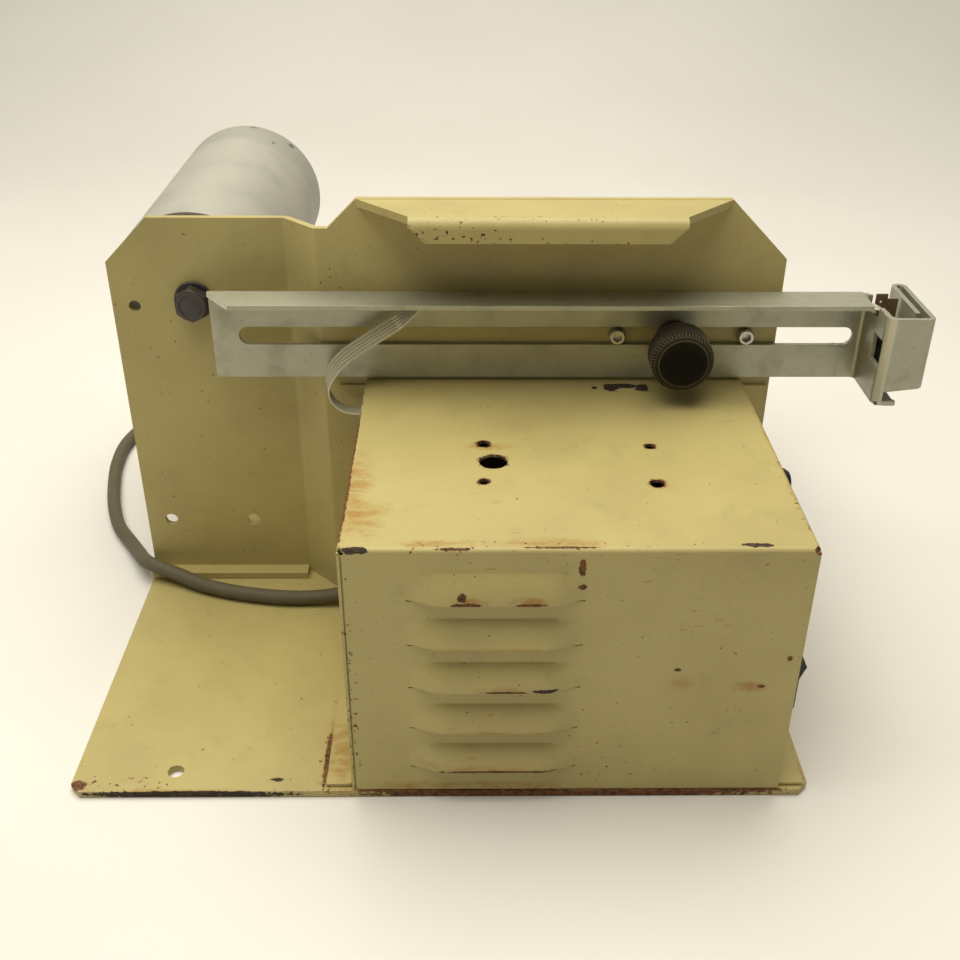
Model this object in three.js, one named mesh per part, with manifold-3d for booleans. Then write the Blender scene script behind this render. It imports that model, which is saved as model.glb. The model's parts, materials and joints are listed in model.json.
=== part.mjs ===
// Bench-top electric label dispenser: it pulls a label web off a drum, over a peel deck, and stops
// when a presented label reaches the sensor at the end of the slotted arm.
// Units are millimetres. The origin is the middle of the base plate's underside, +X points towards
// the sensor head, +Y towards the label drum and +Z up. The motor housing stands on the -Y side.
import * as THREE from "three";
import { mergeVertices } from "three/addons/utils/BufferGeometryUtils.js";
import Module from "manifold-3d";

const wasm = await Module();
wasm.setup();

// ---- Driving dimensions ------------------------------------------------------------------------

const GAP = 0.3; // clearance left between pieces that touch or run on each other
const SEAT = 0.2; // the gap under a head, washer or shoulder that is pulled up tight

const BASE = {
  width: 280,
  depth: 254,
  thickness: 3,
  corner: 4,
  holeRadius: 3,
  holeSpacingX: 203.2,
  holeSpacingY: 232.8,
};

// One folded sheet: a drum panel, a joggle forward to the arm panel, a hood and two foot flanges.
const UPRIGHT = {
  thickness: 3,
  left: -BASE.width / 2,
  right: BASE.width / 2,
  bottom: BASE.thickness + GAP,
  drumPanelY: 17.5, // front face of the panel that carries the drum
  armPanelY: 4, // front face of the panel that carries the arm
  joggleX: -64.5,
  drumPanelTop: 178,
  top: 190,
  cornerLeft: 19,
  cornerRight: 24.5,
  hoodLeft: -33.4,
  hoodFrontY: -22.5,
  hoodTaper: 21.5,
  lipBottom: 180.8,
  lipCorner: 6.5,
  footDepth: 7,
  bendRadius: 3,
};
const PANEL_BACK = UPRIGHT.armPanelY + UPRIGHT.thickness;
const HOOD_RIGHT = UPRIGHT.right - UPRIGHT.cornerRight;

const COVER = {
  left: -33,
  right: 128,
  front: -126.5,
  back: UPRIGHT.armPanelY - GAP,
  bottom: BASE.thickness + GAP,
  top: 112.2,
  sheet: 1.2,
  foot: 10,
  rearFlange: 11,
};
const LOUVRE = {
  x: 20,
  straight: 34,
  endRadius: 14.5,
  rise: 14.5,
  bulge: 4.4,
  pitch: 19.05,
  lowest: 12.1,
  count: 5,
};
// Holes in the cover's top: x, y and radius.
const COVER_TOP_HOLES = [
  [16.8, -54.1, 2.5],
  [20.2, -67.8, 5.3],
  [16.4, -82.4, 1.9],
  [80.5, -56.1, 1.9],
  [79.2, -83.9, 2.6],
];

const DRUM = { x: -105, z: 142.5, radius: 36.4, wall: 3, near: 22.5, far: 169.2, hubLength: 16 };
const AXLE = {
  radius: 4.76,
  hexAcrossFlats: 13,
  hexHeight: 6,
  nutHeight: 7.4,
  washerRadius: 8.9,
  washer: 1.5,
};

const ARM = {
  left: -95.5,
  bendX: 175, // left face of the head's inner wall
  bottom: 114,
  top: 152.6,
  sheet: 2,
  backY: UPRIGHT.armPanelY - GAP,
  flangeY: -14.5,
  flangeRight: 172.5,
  slotLeft: -84.3,
  slotRight: 171.5,
  slotZ: 132.9,
  slotHeight: 7.8,
};
const HEAD = { right: 194, frontY: -25.5, backY: 11.5, top: 151.5, bottom: 120, tabWidth: 8.4 };
const CLAMP = { x: 96.2, y: -26.5, radius: 12.7, hubRadius: 7.4, studRadius: 3.2, socketStart: 8 };
// The screws that go through or into the upright, and the ends of the rods riveted to it.
const SCREW = { radius: 2, hole: 2.4 };

const DRIVE = { x: 62, z: 70, shaftRadius: 4, radius: 12.7, rubber: 3, near: 22, far: 160 };
const SHAFT_START = UPRIGHT.armPanelY - 13; // the end of the drive shaft inside the gearbox
const GEARBOX = { halfWidth: 30, bottom: 36, top: 104, depth: 28, screwOffset: 24 };
const MOTOR = { radius: 27, length: 52, raise: 3, bellRadius: 10, tailRadius: 3 };
const BUSHING = { radius: 7.7, collarRadius: 11 };
const PRESSURE = {
  radius: 9.5,
  pivotX: 14,
  pivotZ: 68,
  pinRadius: 3,
  shoulderRadius: 5,
  nearArm: 17,
  farArm: 163,
  arm: 2,
};
const NIP_DISTANCE = DRIVE.radius + PRESSURE.radius + GAP;
const PRESSURE_X = DRIVE.x - NIP_DISTANCE * Math.SQRT1_2;
const PRESSURE_Z = DRIVE.z - NIP_DISTANCE * Math.SQRT1_2;

const SPRING = { x: 30, y: 12, top: 86, bottom: 64, radius: 3, wire: 0.6, turns: 7, postRadius: 1.5 };

const DECK = {
  left: 4,
  right: 138,
  top: 117,
  sheet: 1.9,
  far: 165,
  flangeBottom: 98.5,
  screwInset: 20,
  screwZ: 107.5,
};
const GUIDE_ROD = { x: -12, z: 96, radius: 5, far: 163 };

const SWITCH = { y: -116.3, z: 50, height: 21, width: 13.5, bodyHeight: 19, bodyWidth: 12.6 };
const ROCKER = { pivotX: COVER.right - 2.5, tiltDegrees: 7 };
const FUSE = { y: -48, z: 91, radius: 6 };
const CORD = { radius: 3.3, exitY: -10, exitZ: 11.5 };
const STRAIN_RELIEF = { radius: 5, collarRadius: 6.3 };
const RIBBON = { width: 6.4, thickness: 0.9, exitBottom: 95, exitTop: 107 };

// ---- Finishes ------------------------------------------------------------------------------------

const PAINT = { color: 0xb5a878, roughness: 0.5, metalness: 0 };
const ZINC = { color: 0x9b9a8c, roughness: 0.45, metalness: 0.8 };
const ALUMINIUM = { color: 0xc9cac6, roughness: 0.5, metalness: 0.9 };
const DARK_STEEL = { color: 0x3a3632, roughness: 0.5, metalness: 0.7 };
const BRIGHT_STEEL = { color: 0xb8b8b4, roughness: 0.3, metalness: 0.9 };
const BLACK_PLASTIC = { color: 0x1c1b1a, roughness: 0.6, metalness: 0 };
const GREY_VINYL = { color: 0x6f685c, roughness: 0.65, metalness: 0 };
const RIBBON_VINYL = { color: 0xa8a38a, roughness: 0.6, metalness: 0 };
const RUBBER = { color: 0x2b2a29, roughness: 0.85, metalness: 0 };
const WHITE_NYLON = { color: 0xd8d4c6, roughness: 0.5, metalness: 0 };
const BRASS = { color: 0xb08d4a, roughness: 0.35, metalness: 0.9 };
const PHENOLIC = { color: 0x6e4c2c, roughness: 0.6, metalness: 0 };
const GREEN_BOARD = { color: 0x2f5a3a, roughness: 0.5, metalness: 0 };
const COPPER = { color: 0xa5612f, roughness: 0.4, metalness: 0.8 };
const RED_FILTER = { color: 0x8a3a1c, roughness: 0.2, metalness: 0 };

// ---- Solids --------------------------------------------------------------------------------------

function solidOf(geometry) {
  geometry.deleteAttribute("normal");
  geometry.deleteAttribute("uv");
  const merged = mergeVertices(geometry, 1e-4);
  const vertProperties = new Float32Array(merged.attributes.position.array);
  const triVerts = new Uint32Array(merged.index.array);
  return new wasm.Manifold(new wasm.Mesh({ numProp: 3, vertProperties, triVerts }));
}

function geometryOf(solid) {
  const mesh = solid.getMesh();
  const geometry = new THREE.BufferGeometry();
  geometry.setAttribute("position", new THREE.BufferAttribute(mesh.vertProperties, 3));
  geometry.setIndex(new THREE.BufferAttribute(mesh.triVerts, 1));
  geometry.computeVertexNormals();
  return geometry;
}

function join(...solids) {
  return solids.reduce((sum, solid) => sum.add(solid));
}

function cut(solid, ...tools) {
  return tools.reduce((left, tool) => left.subtract(tool), solid);
}

function box(x0, x1, y0, y1, z0, z1) {
  const geometry = new THREE.BoxGeometry(x1 - x0, y1 - y0, z1 - z0);
  return solidOf(geometry.translate((x0 + x1) / 2, (y0 + y1) / 2, (z0 + z1) / 2));
}

function flatShape(outline, depth) {
  const shape = new THREE.Shape(outline.map(([a, b]) => new THREE.Vector2(a, b)));
  return new THREE.ExtrudeGeometry(shape, { depth, bevelEnabled: false });
}

// Outline in (x, y), extruded from z0 to z1.
function prismZ(outline, z0, z1) {
  return solidOf(flatShape(outline, z1 - z0).translate(0, 0, z0));
}

// Outline in (x, z), extruded from y0 to y1.
function prismY(outline, y0, y1) {
  return solidOf(flatShape(outline, y1 - y0).rotateX(Math.PI / 2).translate(0, y1, 0));
}

// Outline in (y, z), extruded from x0 to x1.
function prismX(outline, x0, x1) {
  const turn = new THREE.Matrix4().makeBasis(
    new THREE.Vector3(0, 1, 0),
    new THREE.Vector3(0, 0, 1),
    new THREE.Vector3(1, 0, 0),
  );
  return solidOf(flatShape(outline, x1 - x0).applyMatrix4(turn).translate(x0, 0, 0));
}

function rodY(x, z, radius, y0, y1, sides = 14) {
  const geometry = new THREE.CylinderGeometry(radius, radius, y1 - y0, sides);
  return solidOf(geometry.translate(x, (y0 + y1) / 2, z));
}

function rodX(y, z, radius, x0, x1, sides = 14) {
  const geometry = new THREE.CylinderGeometry(radius, radius, x1 - x0, sides);
  return solidOf(geometry.rotateZ(-Math.PI / 2).translate((x0 + x1) / 2, y, z));
}

function rodZ(x, y, radius, z0, z1, sides = 14) {
  const geometry = new THREE.CylinderGeometry(radius, radius, z1 - z0, sides);
  return solidOf(geometry.rotateX(Math.PI / 2).translate(x, y, (z0 + z1) / 2));
}

function ringY(x, z, outer, inner, y0, y1, sides = 16) {
  return cut(rodY(x, z, outer, y0, y1, sides), rodY(x, z, inner, y0 - 1, y1 + 1, sides));
}

// A profile of [radius, height] points turned about the Y axis.
function turned(profile, sides) {
  return new THREE.LatheGeometry(profile.map((p) => new THREE.Vector2(...p)), sides);
}

// A hexagon whose flat-to-flat width is given, along Y.
function hexY(x, z, acrossFlats, y0, y1) {
  return rodY(x, z, acrossFlats / Math.sqrt(3), y0, y1, 6);
}

// A closed rectangle with rounded corners.
function roundedRectangle(a0, a1, b0, b1, radius) {
  return roundCorners([[a0, b0], [a1, b0], [a1, b1], [a0, b1], [a0, b0]], radius, 3, true);
}

// A closed tube that follows a smooth curve through the given points.
function tubeAlong(points, radius, steps, sides) {
  const knots = points.map((p) => new THREE.Vector3(...p));
  const curve = new THREE.CatmullRomCurve3(knots, false, "centripetal");
  const ring = [];
  for (let i = 0; i < sides; i += 1) {
    const angle = (2 * Math.PI * i) / sides;
    ring.push(new THREE.Vector2(radius * Math.cos(angle), radius * Math.sin(angle)));
  }
  const options = { steps, extrudePath: curve, bevelEnabled: false };
  return solidOf(new THREE.ExtrudeGeometry(new THREE.Shape(ring), options));
}

// Replaces each inner corner of a path of [a, b] points by an arc. The radius may be a list with
// one value for each corner.
function roundCorners(path, radius, steps = 4, closed = false) {
  const corners = closed ? path.slice(0, -1) : path;
  const rounded = [];
  corners.forEach((corner, i) => {
    if (!closed && (i === 0 || i === corners.length - 1)) {
      rounded.push(corner);
      return;
    }
    const here = new THREE.Vector2(...corner);
    const back = new THREE.Vector2(...corners.at(i - 1)).sub(here).normalize();
    const ahead = new THREE.Vector2(...corners[(i + 1) % corners.length]).sub(here).normalize();
    const half = Math.acos(THREE.MathUtils.clamp(back.dot(ahead), -1, 1)) / 2;
    const bend = Array.isArray(radius) ? radius[i - 1] : radius;
    const centre = back.clone().add(ahead).normalize().multiplyScalar(bend / Math.sin(half)).add(here);
    const start = here.clone().addScaledVector(back, bend / Math.tan(half)).sub(centre);
    const finish = here.clone().addScaledVector(ahead, bend / Math.tan(half)).sub(centre);
    const turn = Math.atan2(start.cross(finish), start.dot(finish));
    for (let s = 0; s <= steps; s += 1) {
      const point = start.clone().rotateAround(new THREE.Vector2(), (turn * s) / steps).add(centre);
      rounded.push([point.x, point.y]);
    }
  });
  return rounded;
}

// The closed outline of a folded sheet: a path and the same path moved to its right by the thickness.
function sheetOutline(path, thickness) {
  const points = path.map((p) => new THREE.Vector2(...p));
  const moved = points.map((point, i) => {
    const before = points[Math.max(i - 1, 0)];
    const after = points[Math.min(i + 1, points.length - 1)];
    const into = point.clone().sub(i ? before : point).normalize();
    const out = after.clone().sub(point).normalize();
    const first = i ? into : out;
    const second = i < points.length - 1 ? out : into;
    const normal = new THREE.Vector2(first.y + second.y, -first.x - second.x).normalize();
    const stretch = normal.dot(new THREE.Vector2(first.y, -first.x));
    return point.clone().addScaledVector(normal, thickness / stretch);
  });
  return [...points, ...moved.reverse()].map((p) => [p.x, p.y]);
}

// ---- The assembly --------------------------------------------------------------------------------

const dispenser = new THREE.Group();

function place(name, solid, finish) {
  const mesh = new THREE.Mesh(geometryOf(solid), new THREE.MeshStandardMaterial(finish));
  mesh.name = name;
  dispenser.add(mesh);
}

// ---- Base plate ----------------------------------------------------------------------------------

const COVER_SCREW = { y: -58, radius: 1.8, hole: 2.2, headRadius: 3.6, sinkRadius: 4.2, tip: 4.4 };
const COVER_SCREWS = [
  ["cover_screw_left", COVER.left - COVER.foot / 2, COVER_SCREW.y],
  ["cover_screw_right", COVER.right + COVER.foot / 2, COVER_SCREW.y],
];

function basePlate() {
  const { width, depth, thickness, corner, holeRadius, holeSpacingX, holeSpacingY } = BASE;
  const [w, d] = [width / 2, depth / 2];
  const outline = [
    [-w + corner, -d],
    [w - corner, -d],
    [w, -d + corner],
    [w, d - corner],
    [w - corner, d],
    [-w + corner, d],
    [-w, d - corner],
    [-w, -d + corner],
  ];
  let plate = prismZ(outline, 0, thickness);
  for (const side of [-1, 1]) {
    for (const end of [-1, 1]) {
      const [x, y] = [(side * holeSpacingX) / 2, (end * holeSpacingY) / 2];
      plate = cut(plate, rodZ(x, y, holeRadius, -1, thickness + 1));
    }
  }
  const { hole, sinkRadius } = COVER_SCREW;
  for (const [, x, y] of COVER_SCREWS) {
    const sink = new THREE.CylinderGeometry(hole, sinkRadius, hole, 14).rotateX(Math.PI / 2);
    plate = cut(plate, solidOf(sink.translate(x, y, 1)), rodZ(x, y, hole, 1, thickness + 1));
  }
  return plate;
}

// A countersunk screw that comes up through the base plate into one of the cover's foot flanges.
function coverScrew(x, y) {
  const { radius, headRadius, tip } = COVER_SCREW;
  const coneTop = SEAT + headRadius - radius;
  const profile = [[0, SEAT], [headRadius, SEAT], [radius, coneTop], [radius, tip], [0, tip]];
  return solidOf(turned(profile, 14).rotateX(Math.PI / 2).translate(x, y, 0));
}

place("base_plate", basePlate(), PAINT);
COVER_SCREWS.forEach(([name, x, y]) => place(name, coverScrew(x, y), BRIGHT_STEEL));

// ---- Upright bracket -----------------------------------------------------------------------------

const GEARMOTOR_SCREWS = [
  ["gearmotor_screw_1", DRIVE.x - GEARBOX.screwOffset, DRIVE.z + GEARBOX.screwOffset],
  ["gearmotor_screw_2", DRIVE.x + GEARBOX.screwOffset, DRIVE.z + GEARBOX.screwOffset],
  ["gearmotor_screw_3", DRIVE.x - GEARBOX.screwOffset, DRIVE.z - GEARBOX.screwOffset],
  ["gearmotor_screw_4", DRIVE.x + GEARBOX.screwOffset, DRIVE.z - GEARBOX.screwOffset],
];
const DECK_SCREWS = [
  ["deck_screw_left", DECK.left + DECK.screwInset, DECK.screwZ],
  ["deck_screw_right", DECK.right - DECK.screwInset, DECK.screwZ],
];
const GUIDE_SCREWS = [
  ["guide_screw_left", 73, ARM.slotZ],
  ["guide_screw_right", 126.7, ARM.slotZ],
];
// Spare holes in the drum panel: x, z and radius.
const SPARE_HOLES = [
  [-130.6, 139.6, 2.5],
  [-129, 32.3, 3],
  [-90.4, 32.3, 3],
];

function uprightWall() {
  const { left, right, bottom, top, thickness, bendRadius } = UPRIGHT;
  const { drumPanelY, armPanelY, joggleX, drumPanelTop, cornerLeft, cornerRight } = UPRIGHT;
  const stepX = joggleX + drumPanelY - armPanelY;
  const plan = [[left, drumPanelY], [joggleX, drumPanelY], [stepX, armPanelY], [right, armPanelY]];
  const backwards = roundCorners(plan, bendRadius, 3).reverse();
  const wall = prismZ(sheetOutline(backwards, thickness), bottom, top);
  const front = [
    [left, bottom],
    [right, bottom],
    [right, top - cornerRight],
    [right - cornerRight, top],
    [UPRIGHT.hoodLeft, top],
    [UPRIGHT.hoodLeft - top + drumPanelTop, drumPanelTop],
    [left + cornerLeft, drumPanelTop],
    [left, drumPanelTop - cornerLeft],
  ];
  return wall.intersect(prismY(front, armPanelY - 1, drumPanelY + thickness + 1));
}

function hood() {
  const { thickness, top, hoodLeft, hoodFrontY, hoodTaper, lipBottom, lipCorner } = UPRIGHT;
  const tail = top - 4 * thickness;
  const side = [[hoodFrontY, lipBottom], [hoodFrontY, top], [PANEL_BACK, top], [PANEL_BACK, tail]];
  const sheet = prismX(sheetOutline(roundCorners(side, thickness + 1), thickness), hoodLeft, HOOD_RIGHT);
  const [lipLeft, lipRight] = [hoodLeft + hoodTaper, HOOD_RIGHT - hoodTaper];
  const plan = [
    [hoodLeft, PANEL_BACK + 1],
    [hoodLeft, UPRIGHT.armPanelY],
    [lipLeft, hoodFrontY + thickness + 1],
    [lipLeft, hoodFrontY - 1],
    [lipRight, hoodFrontY - 1],
    [lipRight, hoodFrontY + thickness + 1],
    [HOOD_RIGHT, UPRIGHT.armPanelY],
    [HOOD_RIGHT, PANEL_BACK + 1],
  ];
  const cornerOf = (x, inwards) => {
    const below = lipBottom - 1;
    const corner = [[x, below], [x, lipBottom + lipCorner], [x + inwards * (lipCorner + 1), below]];
    return prismY(corner, hoodFrontY - 1, hoodFrontY + thickness + 1);
  };
  const tapered = sheet.intersect(prismZ(plan, tail - 1, top + 1));
  return cut(tapered, cornerOf(lipLeft, 1), cornerOf(lipRight, -1));
}

function uprightBracket() {
  const { left, right, bottom, thickness, drumPanelY, armPanelY, joggleX, footDepth } = UPRIGHT;
  const footTop = bottom + thickness;
  const drumFoot = box(left, joggleX - 1.5, drumPanelY - footDepth, drumPanelY + 1, bottom, footTop);
  const armFoot = box(COVER.left + 4, right - 16, armPanelY - 12, armPanelY + 1, bottom, footTop);
  const screws = [...GUIDE_SCREWS, ...GEARMOTOR_SCREWS, ...DECK_SCREWS];
  const holes = [
    ...SPARE_HOLES,
    ...screws.map(([, x, z]) => [x, z, SCREW.hole]),
    [DRUM.x, DRUM.z, AXLE.radius + GAP],
    [CLAMP.x, ARM.slotZ, CLAMP.studRadius + GAP],
    [DRIVE.x, DRIVE.z, BUSHING.radius + GAP],
    [SPRING.x, SPRING.top, SPRING.postRadius + GAP],
    [GUIDE_ROD.x, GUIDE_ROD.z, SCREW.hole],
    [PRESSURE.pivotX, PRESSURE.pivotZ, SCREW.hole],
  ];
  const drills = holes.map(([x, z, radius]) => {
    return rodY(x, z, radius, armPanelY - 1, drumPanelY + thickness + 1);
  });
  return cut(join(uprightWall(), hood(), drumFoot, armFoot), ...drills);
}

place("upright_bracket", uprightBracket(), PAINT);

// ---- Motor housing cover -------------------------------------------------------------------------

// The dome of one louvre: a quarter-round bead with ball ends, above the line of its opening.
function louvreDome(z, shrink, drop) {
  const half = LOUVRE.straight / 2;
  const [rise, bulge, end] = [LOUVRE.rise - shrink, LOUVRE.bulge - shrink, LOUVRE.endRadius - shrink];
  const bead = solidOf(
    new THREE.CylinderGeometry(1, 1, LOUVRE.straight, 12)
      .rotateZ(Math.PI / 2)
      .scale(1, bulge, rise)
      .translate(LOUVRE.x, COVER.front, z),
  );
  const balls = [-half, half].map((x) => {
    const ball = new THREE.SphereGeometry(1, 12, 6).scale(end, bulge, rise);
    return solidOf(ball.translate(LOUVRE.x + x, COVER.front, z));
  });
  const reach = half + LOUVRE.endRadius + 1;
  const depth = LOUVRE.bulge + 1;
  const keep = box(
    LOUVRE.x - reach,
    LOUVRE.x + reach,
    COVER.front - depth,
    COVER.front + depth,
    z - drop,
    z + LOUVRE.rise + 1,
  );
  return join(bead, ...balls).intersect(keep);
}

function housingCover() {
  const { left, right, front, back, bottom, top, sheet, foot, rearFlange } = COVER;
  const rounding = 1.6;
  const acrossTop = [[left, bottom], [left, top], [right, top], [right, bottom]];
  const alongTop = [[back, bottom], [back, top], [front, top], [front, bottom]];
  const outer = prismY(roundCorners(acrossTop, rounding, 3), front, back).intersect(
    prismX(roundCorners(alongTop, [0.01, rounding], 3), left, right),
  );
  const inner = box(left + sheet, right - sheet, front + sheet, back + 5, bottom - 5, top - sheet);
  let cover = join(
    cut(outer, inner),
    box(left - foot, left + 0.5, front + 3, back, bottom, bottom + sheet),
    box(right - 0.5, right + foot, front + 3, back, bottom, bottom + sheet),
    box(left - rearFlange, left + 0.5, back - sheet, back, bottom, top - 2.5),
    box(right - 0.5, right + rearFlange, back - sheet, back, bottom, top - 2.5),
  );
  for (const [x, y, radius] of COVER_TOP_HOLES) {
    cover = cut(cover, rodZ(x, y, radius, top - 3, top + 3));
  }
  for (let i = 0; i < LOUVRE.count; i += 1) {
    const z = LOUVRE.lowest + i * LOUVRE.pitch;
    cover = cut(cover.add(louvreDome(z, 0, 0)), louvreDome(z, sheet, 0.5));
  }
  for (const [, x, y] of COVER_SCREWS) {
    cover = cut(cover, rodZ(x, y, COVER_SCREW.hole, bottom - 1, bottom + sheet + 1));
  }
  const [halfWidth, halfHeight] = [SWITCH.bodyWidth / 2 + GAP, SWITCH.bodyHeight / 2 + GAP];
  return cut(
    cover,
    box(left - 2, left + 2, -10, back - sheet - GAP, RIBBON.exitBottom, RIBBON.exitTop),
    rodX(CORD.exitY, CORD.exitZ, STRAIN_RELIEF.radius + GAP, left - 2, left + 2),
    box(
      right - 2,
      right + 2,
      SWITCH.y - halfWidth,
      SWITCH.y + halfWidth,
      SWITCH.z - halfHeight,
      SWITCH.z + halfHeight,
    ),
    rodX(FUSE.y, FUSE.z, FUSE.radius + GAP, right - 2, right + 2),
  );
}

place("housing_cover", housingCover(), PAINT);

// ---- Label drum ----------------------------------------------------------------------------------

const DRUM_PANEL = { front: UPRIGHT.drumPanelY, back: UPRIGHT.drumPanelY + UPRIGHT.thickness };
const HUB_FAR = DRUM.far - 12; // the far hub sits back inside the tube, with the axle's nut outside it

function drumAxle() {
  const under = DRUM_PANEL.front - AXLE.washer - 2 * SEAT - 0.1;
  const head = hexY(DRUM.x, DRUM.z, AXLE.hexAcrossFlats, under - AXLE.hexHeight, under);
  return head.add(rodY(DRUM.x, DRUM.z, AXLE.radius, under - 0.5, DRUM.far - 1, 16));
}

function drumWasher(y0) {
  return ringY(DRUM.x, DRUM.z, AXLE.washerRadius, AXLE.radius + GAP, y0, y0 + AXLE.washer);
}

function drumTube() {
  return ringY(DRUM.x, DRUM.z, DRUM.radius, DRUM.radius - DRUM.wall, DRUM.near, DRUM.far, 40);
}

function drumHub(y0) {
  const inside = DRUM.radius - DRUM.wall - GAP;
  const y1 = y0 + DRUM.hubLength;
  const rim = ringY(DRUM.x, DRUM.z, inside, inside - 4, y0, y1, 28);
  const boss = ringY(DRUM.x, DRUM.z, 9, AXLE.radius + GAP, y0, y1);
  const web = ringY(DRUM.x, DRUM.z, inside - 2, 7, y0, y0 + 3, 28);
  return join(rim, boss, web);
}

function drumNut() {
  const start = HUB_FAR + 2;
  const nut = hexY(DRUM.x, DRUM.z, AXLE.hexAcrossFlats, start, start + AXLE.nutHeight);
  return cut(nut, rodY(DRUM.x, DRUM.z, AXLE.radius + GAP, start - 1, DRUM.far));
}

place("drum_axle_bolt", drumAxle(), DARK_STEEL);
place("drum_washer_front", drumWasher(DRUM_PANEL.front - AXLE.washer - SEAT), ZINC);
place("drum_washer_back", drumWasher(DRUM_PANEL.back + SEAT), ZINC);
place("drum_tube", drumTube(), ALUMINIUM);
place("drum_hub_near", drumHub(DRUM.near), WHITE_NYLON);
place("drum_hub_far", drumHub(HUB_FAR - DRUM.hubLength), WHITE_NYLON);
place("drum_axle_nut", drumNut(), ZINC);

// ---- Sensor arm ----------------------------------------------------------------------------------

function armSlot() {
  const radius = ARM.slotHeight / 2;
  const [z0, z1] = [ARM.slotZ - radius, ARM.slotZ + radius];
  const [x0, x1] = [ARM.slotLeft, ARM.slotRight];
  const outline = roundedRectangle(x0, x1, z0, z1, radius - 0.2);
  return prismY(outline, ARM.backY - ARM.sheet - 1, ARM.backY + 1);
}

// The plate and its top flange, then the head that is folded from the same sheet.
function sensorArm() {
  const { left, bendX, bottom, top, sheet, backY, flangeY, flangeRight } = ARM;
  const angle = [[flangeY, top], [backY, top], [backY, bottom]];
  const bar = prismX(sheetOutline(roundCorners(angle, 2.6), sheet), left, flangeRight);
  const mitre = [[left - 1, backY - sheet - 0.6], [left - 1, flangeY - 1], [left + 11.5, flangeY - 1]];
  const leftCut = prismZ(mitre, top - 5, top + 1);
  const inner = bendX + sheet;
  const returnX = HEAD.right - sheet - 2.4;
  const returnY = HEAD.backY - sheet + 1.2;
  const plan = [
    [flangeRight - 6, backY],
    [inner, backY],
    [inner, HEAD.frontY + sheet],
    [HEAD.right - sheet, HEAD.frontY + sheet],
    [HEAD.right - sheet, returnY],
    [returnX, returnY],
    [returnX, HEAD.frontY + 7],
  ];
  const folds = roundCorners(plan, [3.9, 3, 0.8, 1.19, 1.19], 4);
  const head = prismZ(sheetOutline(folds, sheet), bottom, HEAD.top);
  const tabRight = bendX + HEAD.tabWidth;
  const tab = box(bendX + 1, tabRight, HEAD.frontY + 1, backY - 9, bottom - 0.2, bottom + sheet - 0.2);
  const underside = [
    [inner + 1.5, bottom + sheet],
    [tabRight + 0.6, bottom + sheet],
    [tabRight + 0.6, bottom - 1],
    [HEAD.right + 1, bottom - 1],
    [HEAD.right + 1, HEAD.bottom + 2],
    [inner + 1.5, HEAD.bottom],
  ];
  const sensorHole = box(bendX - 2, inner + 2, -22, -12, 129.5, 141);
  const ribbonNotch = box(bendX - 2, inner + 2, -13, 0.8, HEAD.top - 5, HEAD.top + 1);
  return cut(
    join(cut(bar, leftCut), head, tab),
    prismY(underside, HEAD.frontY - 1, HEAD.backY + 1),
    sensorHole,
    ribbonNotch,
    armSlot(),
  );
}

const HEAD_INSIDE = ARM.bendX + ARM.sheet;
const SENSOR = { left: HEAD_INSIDE + 1, right: HEAD_INSIDE + 9.8, bottom: 121.5, top: 139.8, back: -1.3 };
const SENSOR_CAN = {
  y: -17.6,
  z: 134.5,
  radius: 2.9,
  flangeRadius: 3.6,
  left: HEAD_INSIDE + 1.4,
  length: 7.2,
};

function sensorBoard() {
  const left = HEAD_INSIDE + 0.6;
  const [front, back] = [SENSOR.back + GAP, SENSOR.back + GAP + 1.6];
  const tongue = box(left, left + 4.8, front, back, HEAD.top - 1.5, HEAD.top + 0.9);
  return box(left, left + 9.3, front, back, 124, HEAD.top - 1.1).add(tongue);
}

function sensorBody() {
  const outline = roundedRectangle(SENSOR.left, SENSOR.right, SENSOR.bottom, SENSOR.top, 1);
  return prismY(outline, SENSOR.back - 12.2, SENSOR.back);
}

function sensorCan() {
  const { y, z, radius, flangeRadius, left, length } = SENSOR_CAN;
  return rodX(y, z, radius, left, left + length).add(rodX(y, z, flangeRadius, left, left + 1));
}

function sensorWindow() {
  const middle = (SENSOR.left + SENSOR.right) / 2;
  const [front, back] = [SENSOR.back - 10.7, SENSOR.back - 1.7];
  return box(middle - 2.2, middle + 2.2, front, back, SENSOR.bottom - 1.9, SENSOR.bottom - SEAT);
}

place("sensor_arm", sensorArm(), ZINC);
place("sensor_board", sensorBoard(), PHENOLIC);
place("sensor_body", sensorBody(), BLACK_PLASTIC);
place("sensor_can", sensorCan(), BRASS);
place("sensor_window", sensorWindow(), RED_FILTER);

const GUIDE_SCREW = { headRadius: 3.4, headHeight: 4.2, socketAcrossFlats: 3.6, socketDepth: 2.2 };

// A socket-head screw, tapped into the upright, whose head stands in the slot and guides the arm.
function guideScrew(x, z) {
  const { headRadius, headHeight, socketAcrossFlats, socketDepth } = GUIDE_SCREW;
  const under = UPRIGHT.armPanelY - SEAT;
  const top = under - headHeight;
  const head = rodY(x, z, headRadius, top, under, 18);
  const socket = hexY(x, z, socketAcrossFlats, top - 1, top + socketDepth);
  return cut(head, socket).add(rodY(x, z, SCREW.radius, under - 0.5, PANEL_BACK + 2));
}

GUIDE_SCREWS.forEach(([name, x, z]) => place(name, guideScrew(x, z), BRIGHT_STEEL));

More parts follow.
